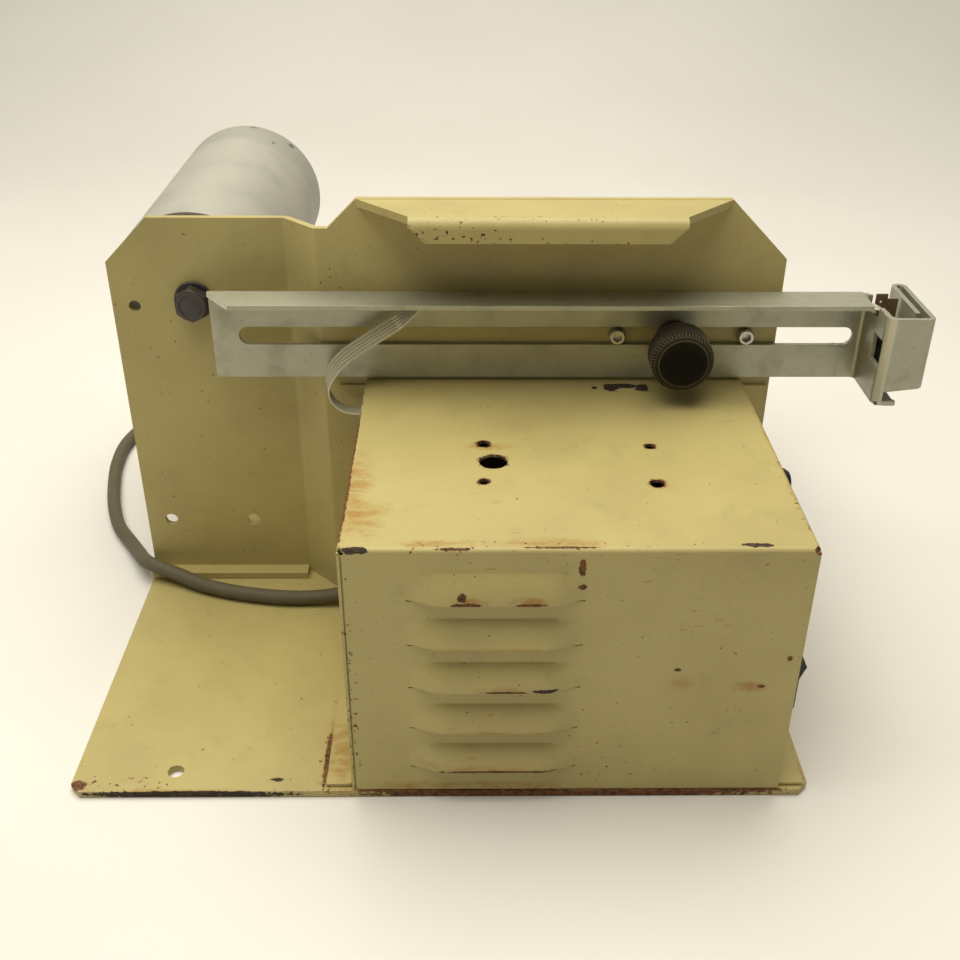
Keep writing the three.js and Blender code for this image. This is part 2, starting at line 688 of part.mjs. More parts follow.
// A knurled head on a hub, turned in one piece, with a socket for the moulded-in stud.
function clampKnob() {
  const { x, y, radius, hubRadius, studRadius, socketStart } = CLAMP;
  const hubEnd = ARM.backY - ARM.sheet - GAP;
  const profile = [
    [0, y],
    [radius - 2.2, y],
    [radius - 0.6, y + 1.6],
    [radius, y + 3.4],
    [radius, y + 12.6],
    [radius - 1, y + 13.6],
    [hubRadius + 0.6, y + 14.2],
    [hubRadius, hubEnd],
    [0, hubEnd],
  ];
  const knob = solidOf(turned(profile, 28).translate(x, 0, ARM.slotZ));
  return cut(knob, rodY(x, ARM.slotZ, studRadius + GAP, y + socketStart, hubEnd + 1));
}

function clampStud() {
  const start = CLAMP.y + CLAMP.socketStart + GAP;
  return rodY(CLAMP.x, ARM.slotZ, CLAMP.studRadius, start, PANEL_BACK + 9);
}

function clampNut() {
  const nut = hexY(CLAMP.x, ARM.slotZ, 11.1, PANEL_BACK + SEAT, PANEL_BACK + 6);
  return cut(nut, rodY(CLAMP.x, ARM.slotZ, CLAMP.studRadius + GAP, PANEL_BACK - 1, PANEL_BACK + 7));
}

place("clamp_knob", clampKnob(), BLACK_PLASTIC);
place("clamp_stud", clampStud(), BRIGHT_STEEL);
place("clamp_nut", clampNut(), ZINC);

// ---- Ribbon cable --------------------------------------------------------------------------------

// The run that is fixed under the arm's flange and drops into the head.
function ribbonOnArm() {
  const under = ARM.top - ARM.sheet - 0.4;
  const drop = HEAD_INSIDE + 6;
  const path = [[-8, under], [HEAD_INSIDE - 1, under], [drop, HEAD.top - 6], [drop, SENSOR.top + GAP]];
  return prismY(sheetOutline(roundCorners(path, 3), RIBBON.thickness), -11, -11 + RIBBON.width);
}

// The free loop between the housing and the arm: rectangular sections along its middle line.
function ribbonLoop() {
  // Each row: middle point, then the direction across the ribbon's width.
  const stations = [
    [[-8.6, -7.8, 149.75], [0, 1, 0]],
    [[-12.5, -8.4, 147.2], [-0.25, 0.9, 0.35]],
    [[-19.5, -8.8, 142.2], [-0.45, 0.45, 0.77]],
    [[-30, -8.6, 135], [-0.5, 0.3, 0.81]],
    [[-39, -8.4, 128.4], [-0.5, 0.4, 0.77]],
    [[-45, -8.4, 121.8], [-0.45, 0.65, 0.6]],
    [[-47.6, -8.2, 114.6], [-0.25, 0.9, 0.3]],
    [[-46, -7.6, 107.6], [0, 1, 0]],
    [[-41.5, -6.8, 103.2], [0.1, 1, -0.05]],
    [[-36, -5.8, 101.6], [0, 1, 0]],
    [[-29, -5.2, 101.4], [0, 1, 0]],
    [[-24, -5.2, 101.2], [0, 1, 0]],
  ];
  const curveOf = (triples) => new THREE.CatmullRomCurve3(triples.map((t) => new THREE.Vector3(...t)));
  const middle = curveOf(stations.map(([point]) => point));
  const across = curveOf(stations.map(([, direction]) => direction));
  const steps = 32;
  const vertices = [];
  const faces = [];
  for (let i = 0; i <= steps; i += 1) {
    const t = i / steps;
    const along = middle.getTangent(t);
    const width = across.getPoint(t);
    width.addScaledVector(along, -width.dot(along)).normalize().multiplyScalar(RIBBON.width / 2);
    const height = along.clone().cross(width).normalize().multiplyScalar(RIBBON.thickness / 2);
    for (const [a, b] of [[-1, -1], [1, -1], [1, 1], [-1, 1]]) {
      const corner = middle.getPoint(t).addScaledVector(width, a).addScaledVector(height, b);
      vertices.push(corner.x, corner.y, corner.z);
    }
  }
  for (let i = 0; i < steps; i += 1) {
    for (let side = 0; side < 4; side += 1) {
      const [a, b] = [i * 4 + side, i * 4 + ((side + 1) % 4)];
      faces.push(a, b, b + 4, a, b + 4, a + 4);
    }
  }
  const last = steps * 4;
  faces.push(0, 2, 1, 0, 3, 2, last, last + 1, last + 2, last, last + 2, last + 3);
  const geometry = new THREE.BufferGeometry();
  geometry.setAttribute("position", new THREE.Float32BufferAttribute(vertices, 3));
  geometry.setIndex(faces);
  return solidOf(geometry);
}

place("ribbon_on_arm", ribbonOnArm(), RIBBON_VINYL);
place("ribbon_loop", ribbonLoop(), RIBBON_VINYL);

// ---- Drive: gearmotor, shaft and drive roller ------------------------------------------------------

function gearboxCase() {
  const { halfWidth, bottom, top, depth } = GEARBOX;
  const back = UPRIGHT.armPanelY - GAP;
  const outline = roundedRectangle(DRIVE.x - halfWidth, DRIVE.x + halfWidth, bottom, top, 6);
  return cut(
    prismY(outline, back - depth, back),
    rodY(DRIVE.x, DRIVE.z, DRIVE.shaftRadius + GAP, SHAFT_START - GAP, back + 1),
    ...GEARMOTOR_SCREWS.map(([, x, z]) => rodY(x, z, SCREW.hole, back - 10, back + 1)),
  );
}

// The motor's can, its domed end bell and the tail of its rotor shaft.
function motorCan() {
  const { radius, length, raise, bellRadius, tailRadius } = MOTOR;
  const front = UPRIGHT.armPanelY - GAP - GEARBOX.depth - SEAT;
  const bell = front - length;
  const profile = [
    [0, bell - 14],
    [tailRadius, bell - 14],
    [tailRadius, bell - 9],
    [bellRadius, bell - 8.5],
    [bellRadius, bell - 5.5],
    [radius - 3, bell - 4],
    [radius, bell],
    [radius, front],
    [0, front],
  ];
  return solidOf(turned(profile, 24).translate(DRIVE.x, 0, DRIVE.z + raise));
}

function gearmotorScrew(x, z) {
  const head = rodY(x, z, 3.5, PANEL_BACK + SEAT, PANEL_BACK + 4);
  const socket = hexY(x, z, 3, PANEL_BACK + 2, PANEL_BACK + 5);
  return cut(head, socket).add(rodY(x, z, SCREW.radius, UPRIGHT.armPanelY - 9, PANEL_BACK + 0.5));
}

function shaftBushing() {
  const barrel = rodY(DRIVE.x, DRIVE.z, BUSHING.radius, UPRIGHT.armPanelY + 0.1, PANEL_BACK + 0.5, 16);
  const collar = rodY(DRIVE.x, DRIVE.z, BUSHING.collarRadius, PANEL_BACK + SEAT, PANEL_BACK + 3, 16);
  const bore = rodY(DRIVE.x, DRIVE.z, DRIVE.shaftRadius + GAP, 0, PANEL_BACK + 8);
  return cut(join(barrel, collar), bore);
}

function driveShaft() {
  return rodY(DRIVE.x, DRIVE.z, DRIVE.shaftRadius, SHAFT_START, DRIVE.far + 4);
}

function driveRollerCore() {
  const outer = DRIVE.radius - DRIVE.rubber - SEAT;
  return ringY(DRIVE.x, DRIVE.z, outer, DRIVE.shaftRadius + GAP, DRIVE.near - 8, DRIVE.far, 24);
}

function driveRollerSleeve() {
  return ringY(DRIVE.x, DRIVE.z, DRIVE.radius, DRIVE.radius - DRIVE.rubber, DRIVE.near, DRIVE.far - 2, 32);
}

place("gearbox_case", gearboxCase(), ZINC);
place("motor_can", motorCan(), DARK_STEEL);
GEARMOTOR_SCREWS.forEach(([name, x, z]) => place(name, gearmotorScrew(x, z), BRIGHT_STEEL));
place("shaft_bushing", shaftBushing(), BRASS);
place("drive_shaft", driveShaft(), BRIGHT_STEEL);
place("drive_roller_core", driveRollerCore(), ALUMINIUM);
place("drive_roller_sleeve", driveRollerSleeve(), RUBBER);

// ---- Pressure roller on its sprung lever -----------------------------------------------------------

function pressureArmPlate(y) {
  const { pivotX, pivotZ, arm } = PRESSURE;
  const length = Math.hypot(PRESSURE_X - pivotX, PRESSURE_Z - pivotZ);
  const slope = Math.atan2(PRESSURE_Z - pivotZ, PRESSURE_X - pivotX);
  const outline = roundedRectangle(-8, length + 7, -7, 7, 6.5);
  const plate = flatShape(outline, arm).rotateX(Math.PI / 2);
  return solidOf(plate.rotateY(-slope).translate(pivotX, y + arm, pivotZ));
}

function pressureLever() {
  const { pivotX, pivotZ, pinRadius, nearArm, farArm, arm } = PRESSURE;
  const tieX = THREE.MathUtils.lerp(pivotX, PRESSURE_X, 0.36);
  const tieZ = THREE.MathUtils.lerp(pivotZ, PRESSURE_Z, 0.36);
  const pinZ = SPRING.bottom - 2 * SPRING.postRadius;
  const lever = join(
    pressureArmPlate(nearArm),
    pressureArmPlate(farArm),
    rodY(tieX, tieZ, 3, nearArm + 0.5, farArm + 1.5),
    rodY(SPRING.x, pinZ, SPRING.postRadius, SPRING.y - 2.5, nearArm + 0.5),
  );
  return cut(
    lever,
    rodY(pivotX, pivotZ, pinRadius + GAP, 0, farArm + arm + 5),
    rodY(PRESSURE_X, PRESSURE_Z, pinRadius + GAP, nearArm - 1, farArm + arm + 1),
  );
}

// A rod that is shouldered against the upright and riveted over on the housing side.
function rivetedRod(x, z, radius, far) {
  const face = UPRIGHT.armPanelY - SEAT;
  const rivet = rodY(x, z, SCREW.radius + 1.8, face - 1.6, face);
  const spigot = rodY(x, z, SCREW.radius, face - 1, PANEL_BACK + 1);
  return join(rivet, spigot, rodY(x, z, radius, PANEL_BACK + SEAT, far, 18));
}

function pressurePivot() {
  const { pivotX, pivotZ, pinRadius, shoulderRadius, nearArm, farArm, arm } = PRESSURE;
  const shoulder = rodY(pivotX, pivotZ, shoulderRadius, PANEL_BACK + SEAT, nearArm - GAP);
  return rivetedRod(pivotX, pivotZ, pinRadius, farArm + arm + 5).add(shoulder);
}

function pressureAxle() {
  const { pinRadius, nearArm, farArm, arm } = PRESSURE;
  return rodY(PRESSURE_X, PRESSURE_Z, pinRadius, nearArm - 1.5, farArm + arm + 1.5);
}

function pressureRoller() {
  const { radius, pinRadius, nearArm, farArm, arm } = PRESSURE;
  return ringY(PRESSURE_X, PRESSURE_Z, radius, pinRadius + GAP, nearArm + arm + 1, farArm - 1, 26);
}

function pressureCollar() {
  const { pivotX, pivotZ, pinRadius, shoulderRadius, farArm, arm } = PRESSURE;
  const start = farArm + arm + GAP;
  return ringY(pivotX, pivotZ, shoulderRadius, pinRadius + GAP, start, start + 4.2);
}

// A helix between two vertical hook legs.
function pressureSpring() {
  const { x, y, top, bottom, radius, wire, turns } = SPRING;
  const points = [[x, y, top - 1.9], [x, y, top - 3.4]];
  const perTurn = 8;
  for (let i = 0; i <= turns * perTurn; i += 1) {
    const angle = (2 * Math.PI * i) / perTurn;
    const z = THREE.MathUtils.lerp(top - 5.5, bottom + 3.5, i / (turns * perTurn));
    points.push([x + radius * Math.cos(angle), y + radius * Math.sin(angle), z]);
  }
  points.push([x, y, bottom + 1.6], [x, y, bottom - 1]);
  return tubeAlong(points, wire, turns * perTurn + 8, 4);
}

function springPost() {
  const { x, y, top, postRadius } = SPRING;
  const post = rodY(x, top, postRadius, UPRIGHT.armPanelY + 0.1, y + 2.5);
  return post.add(rodY(x, top, 2 * postRadius, PANEL_BACK + SEAT, PANEL_BACK + 1.6));
}

place("pressure_pivot_rod", pressurePivot(), BRIGHT_STEEL);
place("pressure_lever", pressureLever(), ZINC);
place("pressure_roller_axle", pressureAxle(), BRIGHT_STEEL);
place("pressure_roller", pressureRoller(), RUBBER);
place("pressure_collar", pressureCollar(), ZINC);
place("pressure_spring", pressureSpring(), BRIGHT_STEEL);
place("spring_post", springPost(), ZINC);

// ---- Web path: guide rod and peel deck -------------------------------------------------------------

// The deck: a mounting flange, the flat the web runs on, a curved entry and a sharp peel edge.
function peelDeck() {
  const { left, right, top, sheet, far, flangeBottom } = DECK;
  const near = PANEL_BACK + SEAT;
  const across = [[near, flangeBottom], [near, top], [far, top], [far, top - 9]];
  const channel = prismX(sheetOutline(roundCorners(across, 2.5), sheet), left, right);
  const entry = [[left + 1, top], [left - 8, top], [left - 8, top - 10]];
  const lip = prismY(sheetOutline(roundCorners(entry, 6).reverse(), sheet), near + 4, far - 4);
  const peelX = right + 1.8;
  const edge = [[right - 0.5, top - sheet], [peelX, top - 0.5], [peelX, top], [right - 0.5, top]];
  const holes = DECK_SCREWS.map(([, x, z]) => rodY(x, z, SCREW.hole, near - 1, near + sheet + 1));
  return cut(join(channel, lip, prismY(edge, near + 4, far - 4)), ...holes);
}

function deckScrew(x, z) {
  const under = PANEL_BACK + SEAT + DECK.sheet + SEAT;
  const head = rodY(x, z, 3.7, under, under + 2.4);
  const slot = box(x - 0.5, x + 0.5, under + 1.2, under + 3, z - 5, z + 5);
  return cut(head, slot).add(rodY(x, z, SCREW.radius, UPRIGHT.armPanelY - 1, under + 0.5));
}

function webGuideRod() {
  return rivetedRod(GUIDE_ROD.x, GUIDE_ROD.z, GUIDE_ROD.radius, GUIDE_ROD.far);
}

place("peel_deck", peelDeck(), BRIGHT_STEEL);
DECK_SCREWS.forEach(([name, x, z]) => place(name, deckScrew(x, z), BRIGHT_STEEL));
place("web_guide_rod", webGuideRod(), BRIGHT_STEEL);

// ---- Mains switch, fuse and cord -------------------------------------------------------------------

function switchBody() {
  const { y, z, height, width, bodyHeight, bodyWidth } = SWITCH;
  const wall = COVER.right;
  const rim = roundedRectangle(y - width / 2, y + width / 2, z - height / 2, z + height / 2, 1);
  const bezel = prismX(rim, wall + SEAT, wall + 1.7);
  const [halfWidth, halfHeight] = [bodyWidth / 2, bodyHeight / 2];
  const body = box(wall - 20, wall + 0.5, y - halfWidth, y + halfWidth, z - halfHeight, z + halfHeight);
  const [halfOpening, tallOpening] = [halfWidth - 1.3, halfHeight - 0.8];
  const opening = [y - halfOpening, y + halfOpening, z - tallOpening, z + tallOpening];
  const pocket = box(wall - 9, wall + 3, ...opening);
  const blades = [z - 5.5, z + 5.5].map((middle) => {
    return box(wall - 28, wall - 19, y - 2.4, y + 2.4, middle - 0.4, middle + 0.4);
  });
  return cut(join(bezel, body, ...blades), pocket);
}

// The rocker, tipped to its rest position with the upper end out.
function switchRocker() {
  const upperHalf = [[-5, 5], [1, 8.1], [6.3, 8.1], [4.6, 2.5]];
  const lowerHalf = upperHalf.map(([x, z]) => [x, -z]).reverse();
  const outline = [...upperHalf, ...lowerHalf];
  const rocker = flatShape(outline, 9.2).rotateX(Math.PI / 2).translate(0, 4.6, 0);
  const tipped = rocker.rotateY(THREE.MathUtils.degToRad(ROCKER.tiltDegrees));
  return solidOf(tipped.translate(ROCKER.pivotX, SWITCH.y, SWITCH.z));
}

function fuseHolderBody() {
  const wall = COVER.right;
  const barrel = rodX(FUSE.y, FUSE.z, FUSE.radius, wall - 30, wall + 0.5, 16);
  const collar = rodX(FUSE.y, FUSE.z, FUSE.radius + 1.5, wall + SEAT, wall + 2, 16);
  const tail = box(wall - 37, wall - 29, FUSE.y - 2, FUSE.y + 2, FUSE.z - 0.4, FUSE.z + 0.4);
  return join(barrel, collar, tail);
}

function fuseHolderCap() {
  const { radius } = FUSE;
  const profile = [[0, 2.3], [radius, 2.3], [radius, 8.6], [radius - 1.4, 10.4], [0, 10.8]];
  return solidOf(turned(profile, 16).rotateZ(-Math.PI / 2).translate(COVER.right, FUSE.y, FUSE.z));
}

// The cord's middle line, from inside the housing, over the foot flange and round to the plug.
const CORD_PATH = [
  [-16, -12, 13],
  [-26, -10.6, 12],
  [-36, -10, 11.2],
  [-46, -10, 9.3],
  [-60, -10, 7.1],
  [-76, -9.6, 6.9],
  [-96, -6, 6.9],
  [-113, -0.4, 7.2],
  [-127, 6, 9],
  [-138.6, 10.8, 10.6],
  [-145, 17.2, 9.6],
  [-150, 26, 7.6],
  [-158, 40, 4.6],
  [-168, 56, 3.5],
  [-176, 76, 3.5],
  [-182, 98, 3.5],
  [-186.5, 122, 3.5],
  [-187, 146, 3.5],
  [-180, 168, 3.5],
  [-162, 184, 3.5],
  [-138, 190, 3.5],
  [-114, 188, 4.5],
  [-100, 186, 8],
  [-92, 185, 10],
];

function strainRelief() {
  const { radius, collarRadius } = STRAIN_RELIEF;
  const barrel = rodX(CORD.exitY, CORD.exitZ, radius, COVER.left - 7, COVER.left + 2.5, 16);
  const collar = rodX(CORD.exitY, CORD.exitZ, collarRadius, COVER.left - 3, COVER.left - SEAT, 16);
  const bore = tubeAlong(CORD_PATH.slice(0, 4), CORD.radius + 0.35, 6, 12);
  return cut(join(barrel, collar), bore);
}

const PLUG = { x: -91.4, y: 185, z: 13 };

function plugBody() {
  const { x, y, z } = PLUG;
  const grip = prismX(roundedRectangle(y - 9, y + 9, z - 12.7, z + 12.7, 6), x + 6, x + 22);
  const face = prismX(roundedRectangle(y - 13, y + 13, z - 12.8, z + 12.8, 8), x + 22, x + 34);
  const neck = rodX(y, z - 3, 5.5, x + 0.4, x + 7);
  return join(grip, face, neck);
}

// The insert that closes the plug's face, with its two flat blades and round earth pin.
function plugInsert() {
  const { x, y, z } = PLUG;
  const blades = [y - 6.35, y + 6.35].map((middle) => {
    return box(x + 35, x + 50, middle - 0.75, middle + 0.75, z - 1, z + 5.3);
  });
  const plate = prismX(roundedRectangle(y - 11, y + 11, z - 11.5, z + 9, 6), x + 34.2, x + 35.4);
  return join(plate, ...blades, rodX(y, z - 7.5, 2.4, x + 35, x + 53));
}

place("switch_body", switchBody(), BLACK_PLASTIC);
place("switch_rocker", switchRocker(), BLACK_PLASTIC);
place("fuse_holder_body", fuseHolderBody(), BLACK_PLASTIC);
place("fuse_holder_cap", fuseHolderCap(), BLACK_PLASTIC);
place("cord_strain_relief", strainRelief(), BLACK_PLASTIC);
place("power_cord", tubeAlong(CORD_PATH, CORD.radius, 56, 8), GREY_VINYL);
place("plug_body", plugBody(), GREY_VINYL);
place("plug_insert", plugInsert(), BRASS);

// ---- Control parts inside the housing --------------------------------------------------------------

const BOARD = { x0: 32, x1: 112, y0: -116, y1: -62, z: 13, thickness: 1.6 };
const ON_BOARD = BOARD.z + BOARD.thickness + SEAT;

// A folded tray whose raised sides hold the board clear of the base plate by its edges.
function boardTray() {
  const { x0, x1, y0, y1, z } = BOARD;
  const bottom = BASE.thickness + SEAT;
  const tray = box(x0 - 1.6, x1 + 1.6, y0 + 6, y1 - 6, bottom, z + 3);
  const hollow = box(x0 + 2, x1 - 2, y0, y1, bottom + 1.2, z + 4);
  const grooves = box(x0 - 0.3, x1 + 0.3, y0, y1, z - 0.2, z + 1.8);
  return cut(tray, hollow, grooves);
}

const TRANSFORMER = { x: 2, y: -88, width: 48, depth: 26, height: 40 };

function transformerCore() {
  const { x, y, width, depth, height } = TRANSFORMER;
  const bottom = BASE.thickness + SEAT;
  const stack = box(x - width / 2, x + width / 2, y - depth / 2, y + depth / 2, bottom, bottom + height);
  const windows = [-1, 1].map((side) => {
    const middle = x + side * (width / 4 - 1);
    return box(middle - 5, middle + 5, y - depth, y + depth, bottom + 8, bottom + height - 8);
  });
  return cut(stack, ...windows);
}

function transformerCoil() {
  const { x, y, depth, height } = TRANSFORMER;
  const [z0, z1] = [BASE.thickness + 8.5, BASE.thickness + height - 8.1];
  const outline = roundedRectangle(x - 15.6, x + 15.6, y - depth / 2 - 8, y + depth / 2 + 8, 4);
  const winding = prismZ(outline, z0, z1);
  const limb = box(x - 6.3, x + 6.3, y - depth / 2 - 0.3, y + depth / 2 + 0.3, z0 - 1, z1 + 1);
  return cut(winding, limb);
}

function terminalBlock() {
  const block = box(78, 106, BOARD.y1 - 20, BOARD.y1 - 8, ON_BOARD, ON_BOARD + 13);
  const wells = [0, 1, 2, 3].map((i) => {
    return rodZ(82.1 + i * 6.6, BOARD.y1 - 14, 2, ON_BOARD + 6, ON_BOARD + 14, 10);
  });
  return cut(block, ...wells);
}

function controlBoard() {
  return box(BOARD.x0, BOARD.x1, BOARD.y0, BOARD.y1, BOARD.z, BOARD.z + BOARD.thickness);
}

function controlRelay() {
  return box(46, 64, -106, -80, ON_BOARD, ON_BOARD + 25);
}

place("board_tray", boardTray(), ZINC);
place("control_board", controlBoard(), GREEN_BOARD);
place("control_relay", controlRelay(), WHITE_NYLON);
place("terminal_block", terminalBlock(), BLACK_PLASTIC);
place("transformer_core", transformerCore(), DARK_STEEL);
place("transformer_coil", transformerCoil(), COPPER);

export default dispenser;
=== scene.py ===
"""The looks of a bench-top electric label dispenser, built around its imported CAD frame.

Shapes are drawn in millimetres, in the frame's own axes: +X towards the sensor head, +Y towards the
label drum and +Z up. Each piece is scaled to metres when it is finished.
"""

import json
import math
import random
from collections import namedtuple

import bmesh
import bpy
from mathutils import Matrix, Vector


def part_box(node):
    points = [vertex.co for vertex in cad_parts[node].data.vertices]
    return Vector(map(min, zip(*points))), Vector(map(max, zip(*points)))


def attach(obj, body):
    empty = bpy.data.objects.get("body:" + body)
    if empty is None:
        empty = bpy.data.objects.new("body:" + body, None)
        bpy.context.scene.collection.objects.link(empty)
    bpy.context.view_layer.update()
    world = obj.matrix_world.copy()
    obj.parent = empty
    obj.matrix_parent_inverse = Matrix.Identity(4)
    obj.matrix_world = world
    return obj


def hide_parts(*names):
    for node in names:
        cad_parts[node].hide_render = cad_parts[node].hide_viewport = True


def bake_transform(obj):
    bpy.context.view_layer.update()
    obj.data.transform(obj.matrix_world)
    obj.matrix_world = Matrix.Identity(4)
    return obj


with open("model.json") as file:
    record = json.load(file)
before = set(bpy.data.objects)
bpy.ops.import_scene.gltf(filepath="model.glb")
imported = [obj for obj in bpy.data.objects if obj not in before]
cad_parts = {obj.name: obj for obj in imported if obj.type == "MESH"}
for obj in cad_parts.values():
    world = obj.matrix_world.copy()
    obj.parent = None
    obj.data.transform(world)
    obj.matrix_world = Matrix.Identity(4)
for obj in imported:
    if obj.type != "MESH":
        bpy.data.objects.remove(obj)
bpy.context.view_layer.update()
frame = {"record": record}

MM = 0.001
GAP = 0.3  # clearance between pieces that touch
SEAT = 0.2  # clearance under a head, washer or shoulder
FLAT_WITHIN = math.radians(0.2)  # faces that meet at less are merged before a bevel
BEVELLED_FROM = math.radians(28)  # edges that turn more than this are bevelled
SHARP_FROM = math.radians(40)  # edges that turn more than this are shaded as sharp
RECORD = frame["record"]
BODY_OF = {node: body for body, nodes in RECORD["behaviour"]["bodies"].items() for node in nodes}


class Extent(namedtuple("Extent", "left right near far bottom top")):
    """A box in millimetres, with its middle along each axis."""

    x = property(lambda box: (box.left + box.right) / 2)
    y = property(lambda box: (box.near + box.far) / 2)
    z = property(lambda box: (box.bottom + box.top) / 2)


def extent(node):
    """The box of a CAD node."""
    low, high = (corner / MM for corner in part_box(node))
    return Extent(low.x, high.x, low.y, high.y, low.z, high.z)


# ---- Outlines ----


def turns_of(sides):
    return [2 * math.pi * i / sides for i in range(sides)]


def quarter(steps):
    return [math.pi / 2 * i / steps for i in range(steps + 1)]


def round_corners(path, radius, steps=6, closed=False):
    """Replaces each inner corner of a path by an arc; radius is one value or one for each corner."""
    rounded = []
    for i, corner in enumerate(path):
        if not closed and i in (0, len(path) - 1):
            rounded.append(tuple(corner))
            continue
        here = Vector(corner)
        back = (Vector(path[i - 1]) - here).normalized()
        ahead = (Vector(path[(i + 1) % len(path)]) - here).normalized()
        half = back.angle(ahead) / 2
        bend = radius[i - 1] if isinstance(radius, (list, tuple)) else radius
        centre = here + (back + ahead).normalized() * (bend / math.sin(half))
        start = here + back * (bend / math.tan(half)) - centre
        finish = here + ahead * (bend / math.tan(half)) - centre
        turn = math.atan2(start.x * finish.y - start.y * finish.x, start.dot(finish))
        for step in range(steps + 1):
            spoke = Matrix.Rotation(turn * step / steps, 2) @ start
            rounded.append(tuple(centre + spoke))
    return rounded


def rectangle(a0, a1, b0, b1, radius=0.0, steps=6):
    corners = [(a0, b0), (a1, b0), (a1, b1), (a0, b1)]
    return round_corners(corners, radius, steps, closed=True) if radius else corners


def sheet_outline(path, thickness):
    """The closed outline of a folded sheet: a path, and the same path moved to its right."""
    points = [Vector(point) for point in path]
    moved = []
    for i, point in enumerate(points):
        into = (point - points[i - 1]).normalized() if i else None
        out = (points[i + 1] - point).normalized() if i < len(points) - 1 else into
        into = into or out
        normal = Vector((into.y + out.y, -into.x - out.x)).normalized()
        stretch = normal.dot(Vector((into.y, -into.x)))
        moved.append(point + normal * (thickness / stretch))
    outline = points + moved[::-1]
    apart = [i for i, point in enumerate(outline) if (point - outline[i - 1]).length > 0.05]
    return [tuple(outline[i]) for i in apart]


# ---- Meshes ----


def object_from(bm, name="shape"):
    """Links a new object that holds a mesh with its faces turned outwards."""
    bmesh.ops.recalc_face_normals(bm, faces=bm.faces)
    mesh = bpy.data.meshes.new(name)
    bm.to_mesh(mesh)
    bm.free()
    piece = bpy.data.objects.new(name, mesh)
    bpy.context.scene.collection.objects.link(piece)
    return piece


def solid(rows, closed=False, capped=True):
    """A mesh through rings of points, with triangles where a ring is a single point."""
    bm = bmesh.new()
    rings = [[bm.verts.new(point) for point in row] for row in rows]
    for first, second in zip(rings, rings[1:] + rings[:1] if closed else rings[1:]):
        sides = max(len(first), len(second))
        for i in range(sides):
            j = (i + 1) % sides
            corners = [first[i % len(first)], first[j % len(first)]]
            corners += [second[j % len(second)], second[i % len(second)]]
            bm.faces.new(list(dict.fromkeys(corners)))
    if capped:
        bm.faces.new(rings[0])
        bm.faces.new(rings[-1])
    return object_from(bm)


def on_axis(axis, a, b, along):
    """A point from a flat outline's (a, b) and its place along the axis that the outline faces."""
    return {"X": (along, a, b), "Y": (a, along, b), "Z": (a, b, along)}[axis]


def prism(axis, outline, start, end):
    return solid([[on_axis(axis, a, b, along) for a, b in outline] for along in (start, end)])


def block(x0, x1, y0, y1, z0, z1):
    return prism("Z", rectangle(x0, x1, y0, y1), z0, z1)


def circle(a, b, radius, sides=48):
    return [(a + radius * math.cos(t), b + radius * math.sin(t)) for t in turns_of(sides)]


def rod(axis, a, b, radius, start, end, sides=48):
    return prism(axis, circle(a, b, radius, sides), start, end)


def lathe(axis, a, b, profile, sides=64):
    """Turns a profile of (radius, along) points about an axis through (a, b).

    A profile that doesn't start and end on the axis is closed on itself, as a ring.
    """
    rings = []
    for radius, along in profile:
        outline = circle(a, b, radius, sides) if radius else [(a, b)]
        rings.append([on_axis(axis, p, q, along) for p, q in outline])
    return solid(rings, closed=len(rings[0]) > 1, capped=False)


def chamfered(radius, start, end, chamfer):
    """The profile of a solid rod with a small chamfer at both ends."""
    rim = radius - chamfer
    side = [(rim, start), (radius, start + chamfer), (radius, end - chamfer), (rim, end)]
    return [(0, start), *side, (0, end)]


def chamfered_ring(outer, inner, start, end, chamfer):
    outside = chamfered(outer, start, end, chamfer)[1:-1]
    bore = chamfered(inner, end, start, -chamfer)[1:-1]
    return outside + bore


def hexagon(a, b, across_flats):
    """A hexagon with a corner straight up."""
    radius = across_flats / math.sqrt(3)
    return [(a + radius * math.sin(t), b + radius * math.cos(t)) for t in turns_of(6)]


def set_up(made, **settings):
    for key, value in settings.items():
        setattr(made, key, value)
    return made


def apply_modifiers(piece):
    graph = bpy.context.evaluated_depsgraph_get()
    mesh = bpy.data.meshes.new_from_object(piece.evaluated_get(graph))
    piece.modifiers.clear()
    old = piece.data
    piece.data = mesh
    bpy.data.meshes.remove(old)


def combine(operation, piece, tools):
    for tool in tools:
        modifier = piece.modifiers.new(operation, "BOOLEAN")
        set_up(modifier, operation=operation, solver="EXACT", object=tool)
    apply_modifiers(piece)
    for tool in tools:
        bpy.data.objects.remove(tool)
    return piece


def cut(piece, *tools):
    return combine("DIFFERENCE", piece, tools)


def join(piece, *others):
    return combine("UNION", piece, others)


def keep(piece, *tools):
    return combine("INTERSECT", piece, tools)


def sweep(section, stations):
    """Sweeps a closed section along stations of (middle, across, up) vectors."""
    return solid([[centre + across * a + up * b for a, b in section] for centre, across, up in stations])


def smooth_path(points, per_span):
    """Points on a Catmull-Rom curve through the given points."""
    knots = [Vector(p) for p in points]
    knots = [knots[0] * 2 - knots[1]] + knots + [knots[-1] * 2 - knots[-2]]
    path = []
    for p0, p1, p2, p3 in zip(knots, knots[1:], knots[2:], knots[3:]):
        for step in range(per_span):
            t = step / per_span
            square, cube = 2 * p0 - 5 * p1 + 4 * p2 - p3, 3 * p1 - p0 - 3 * p2 + p3
            path.append(0.5 * (2 * p1 + (p2 - p0) * t + square * t * t + cube * t * t * t))
    path.append(knots[-2])
    return path


def tube_stations(path):
    """Frames that don't twist along a path, for a round section."""
    side = None
    stations = []
    for i, point in enumerate(path):
        along = (path[min(i + 1, len(path) - 1)] - path[max(i - 1, 0)]).normalized()
        if side is None:
            side = along.orthogonal().normalized()
        side = (side - along * side.dot(along)).normalized()
        stations.append((point, side, along.cross(side)))
    return stations


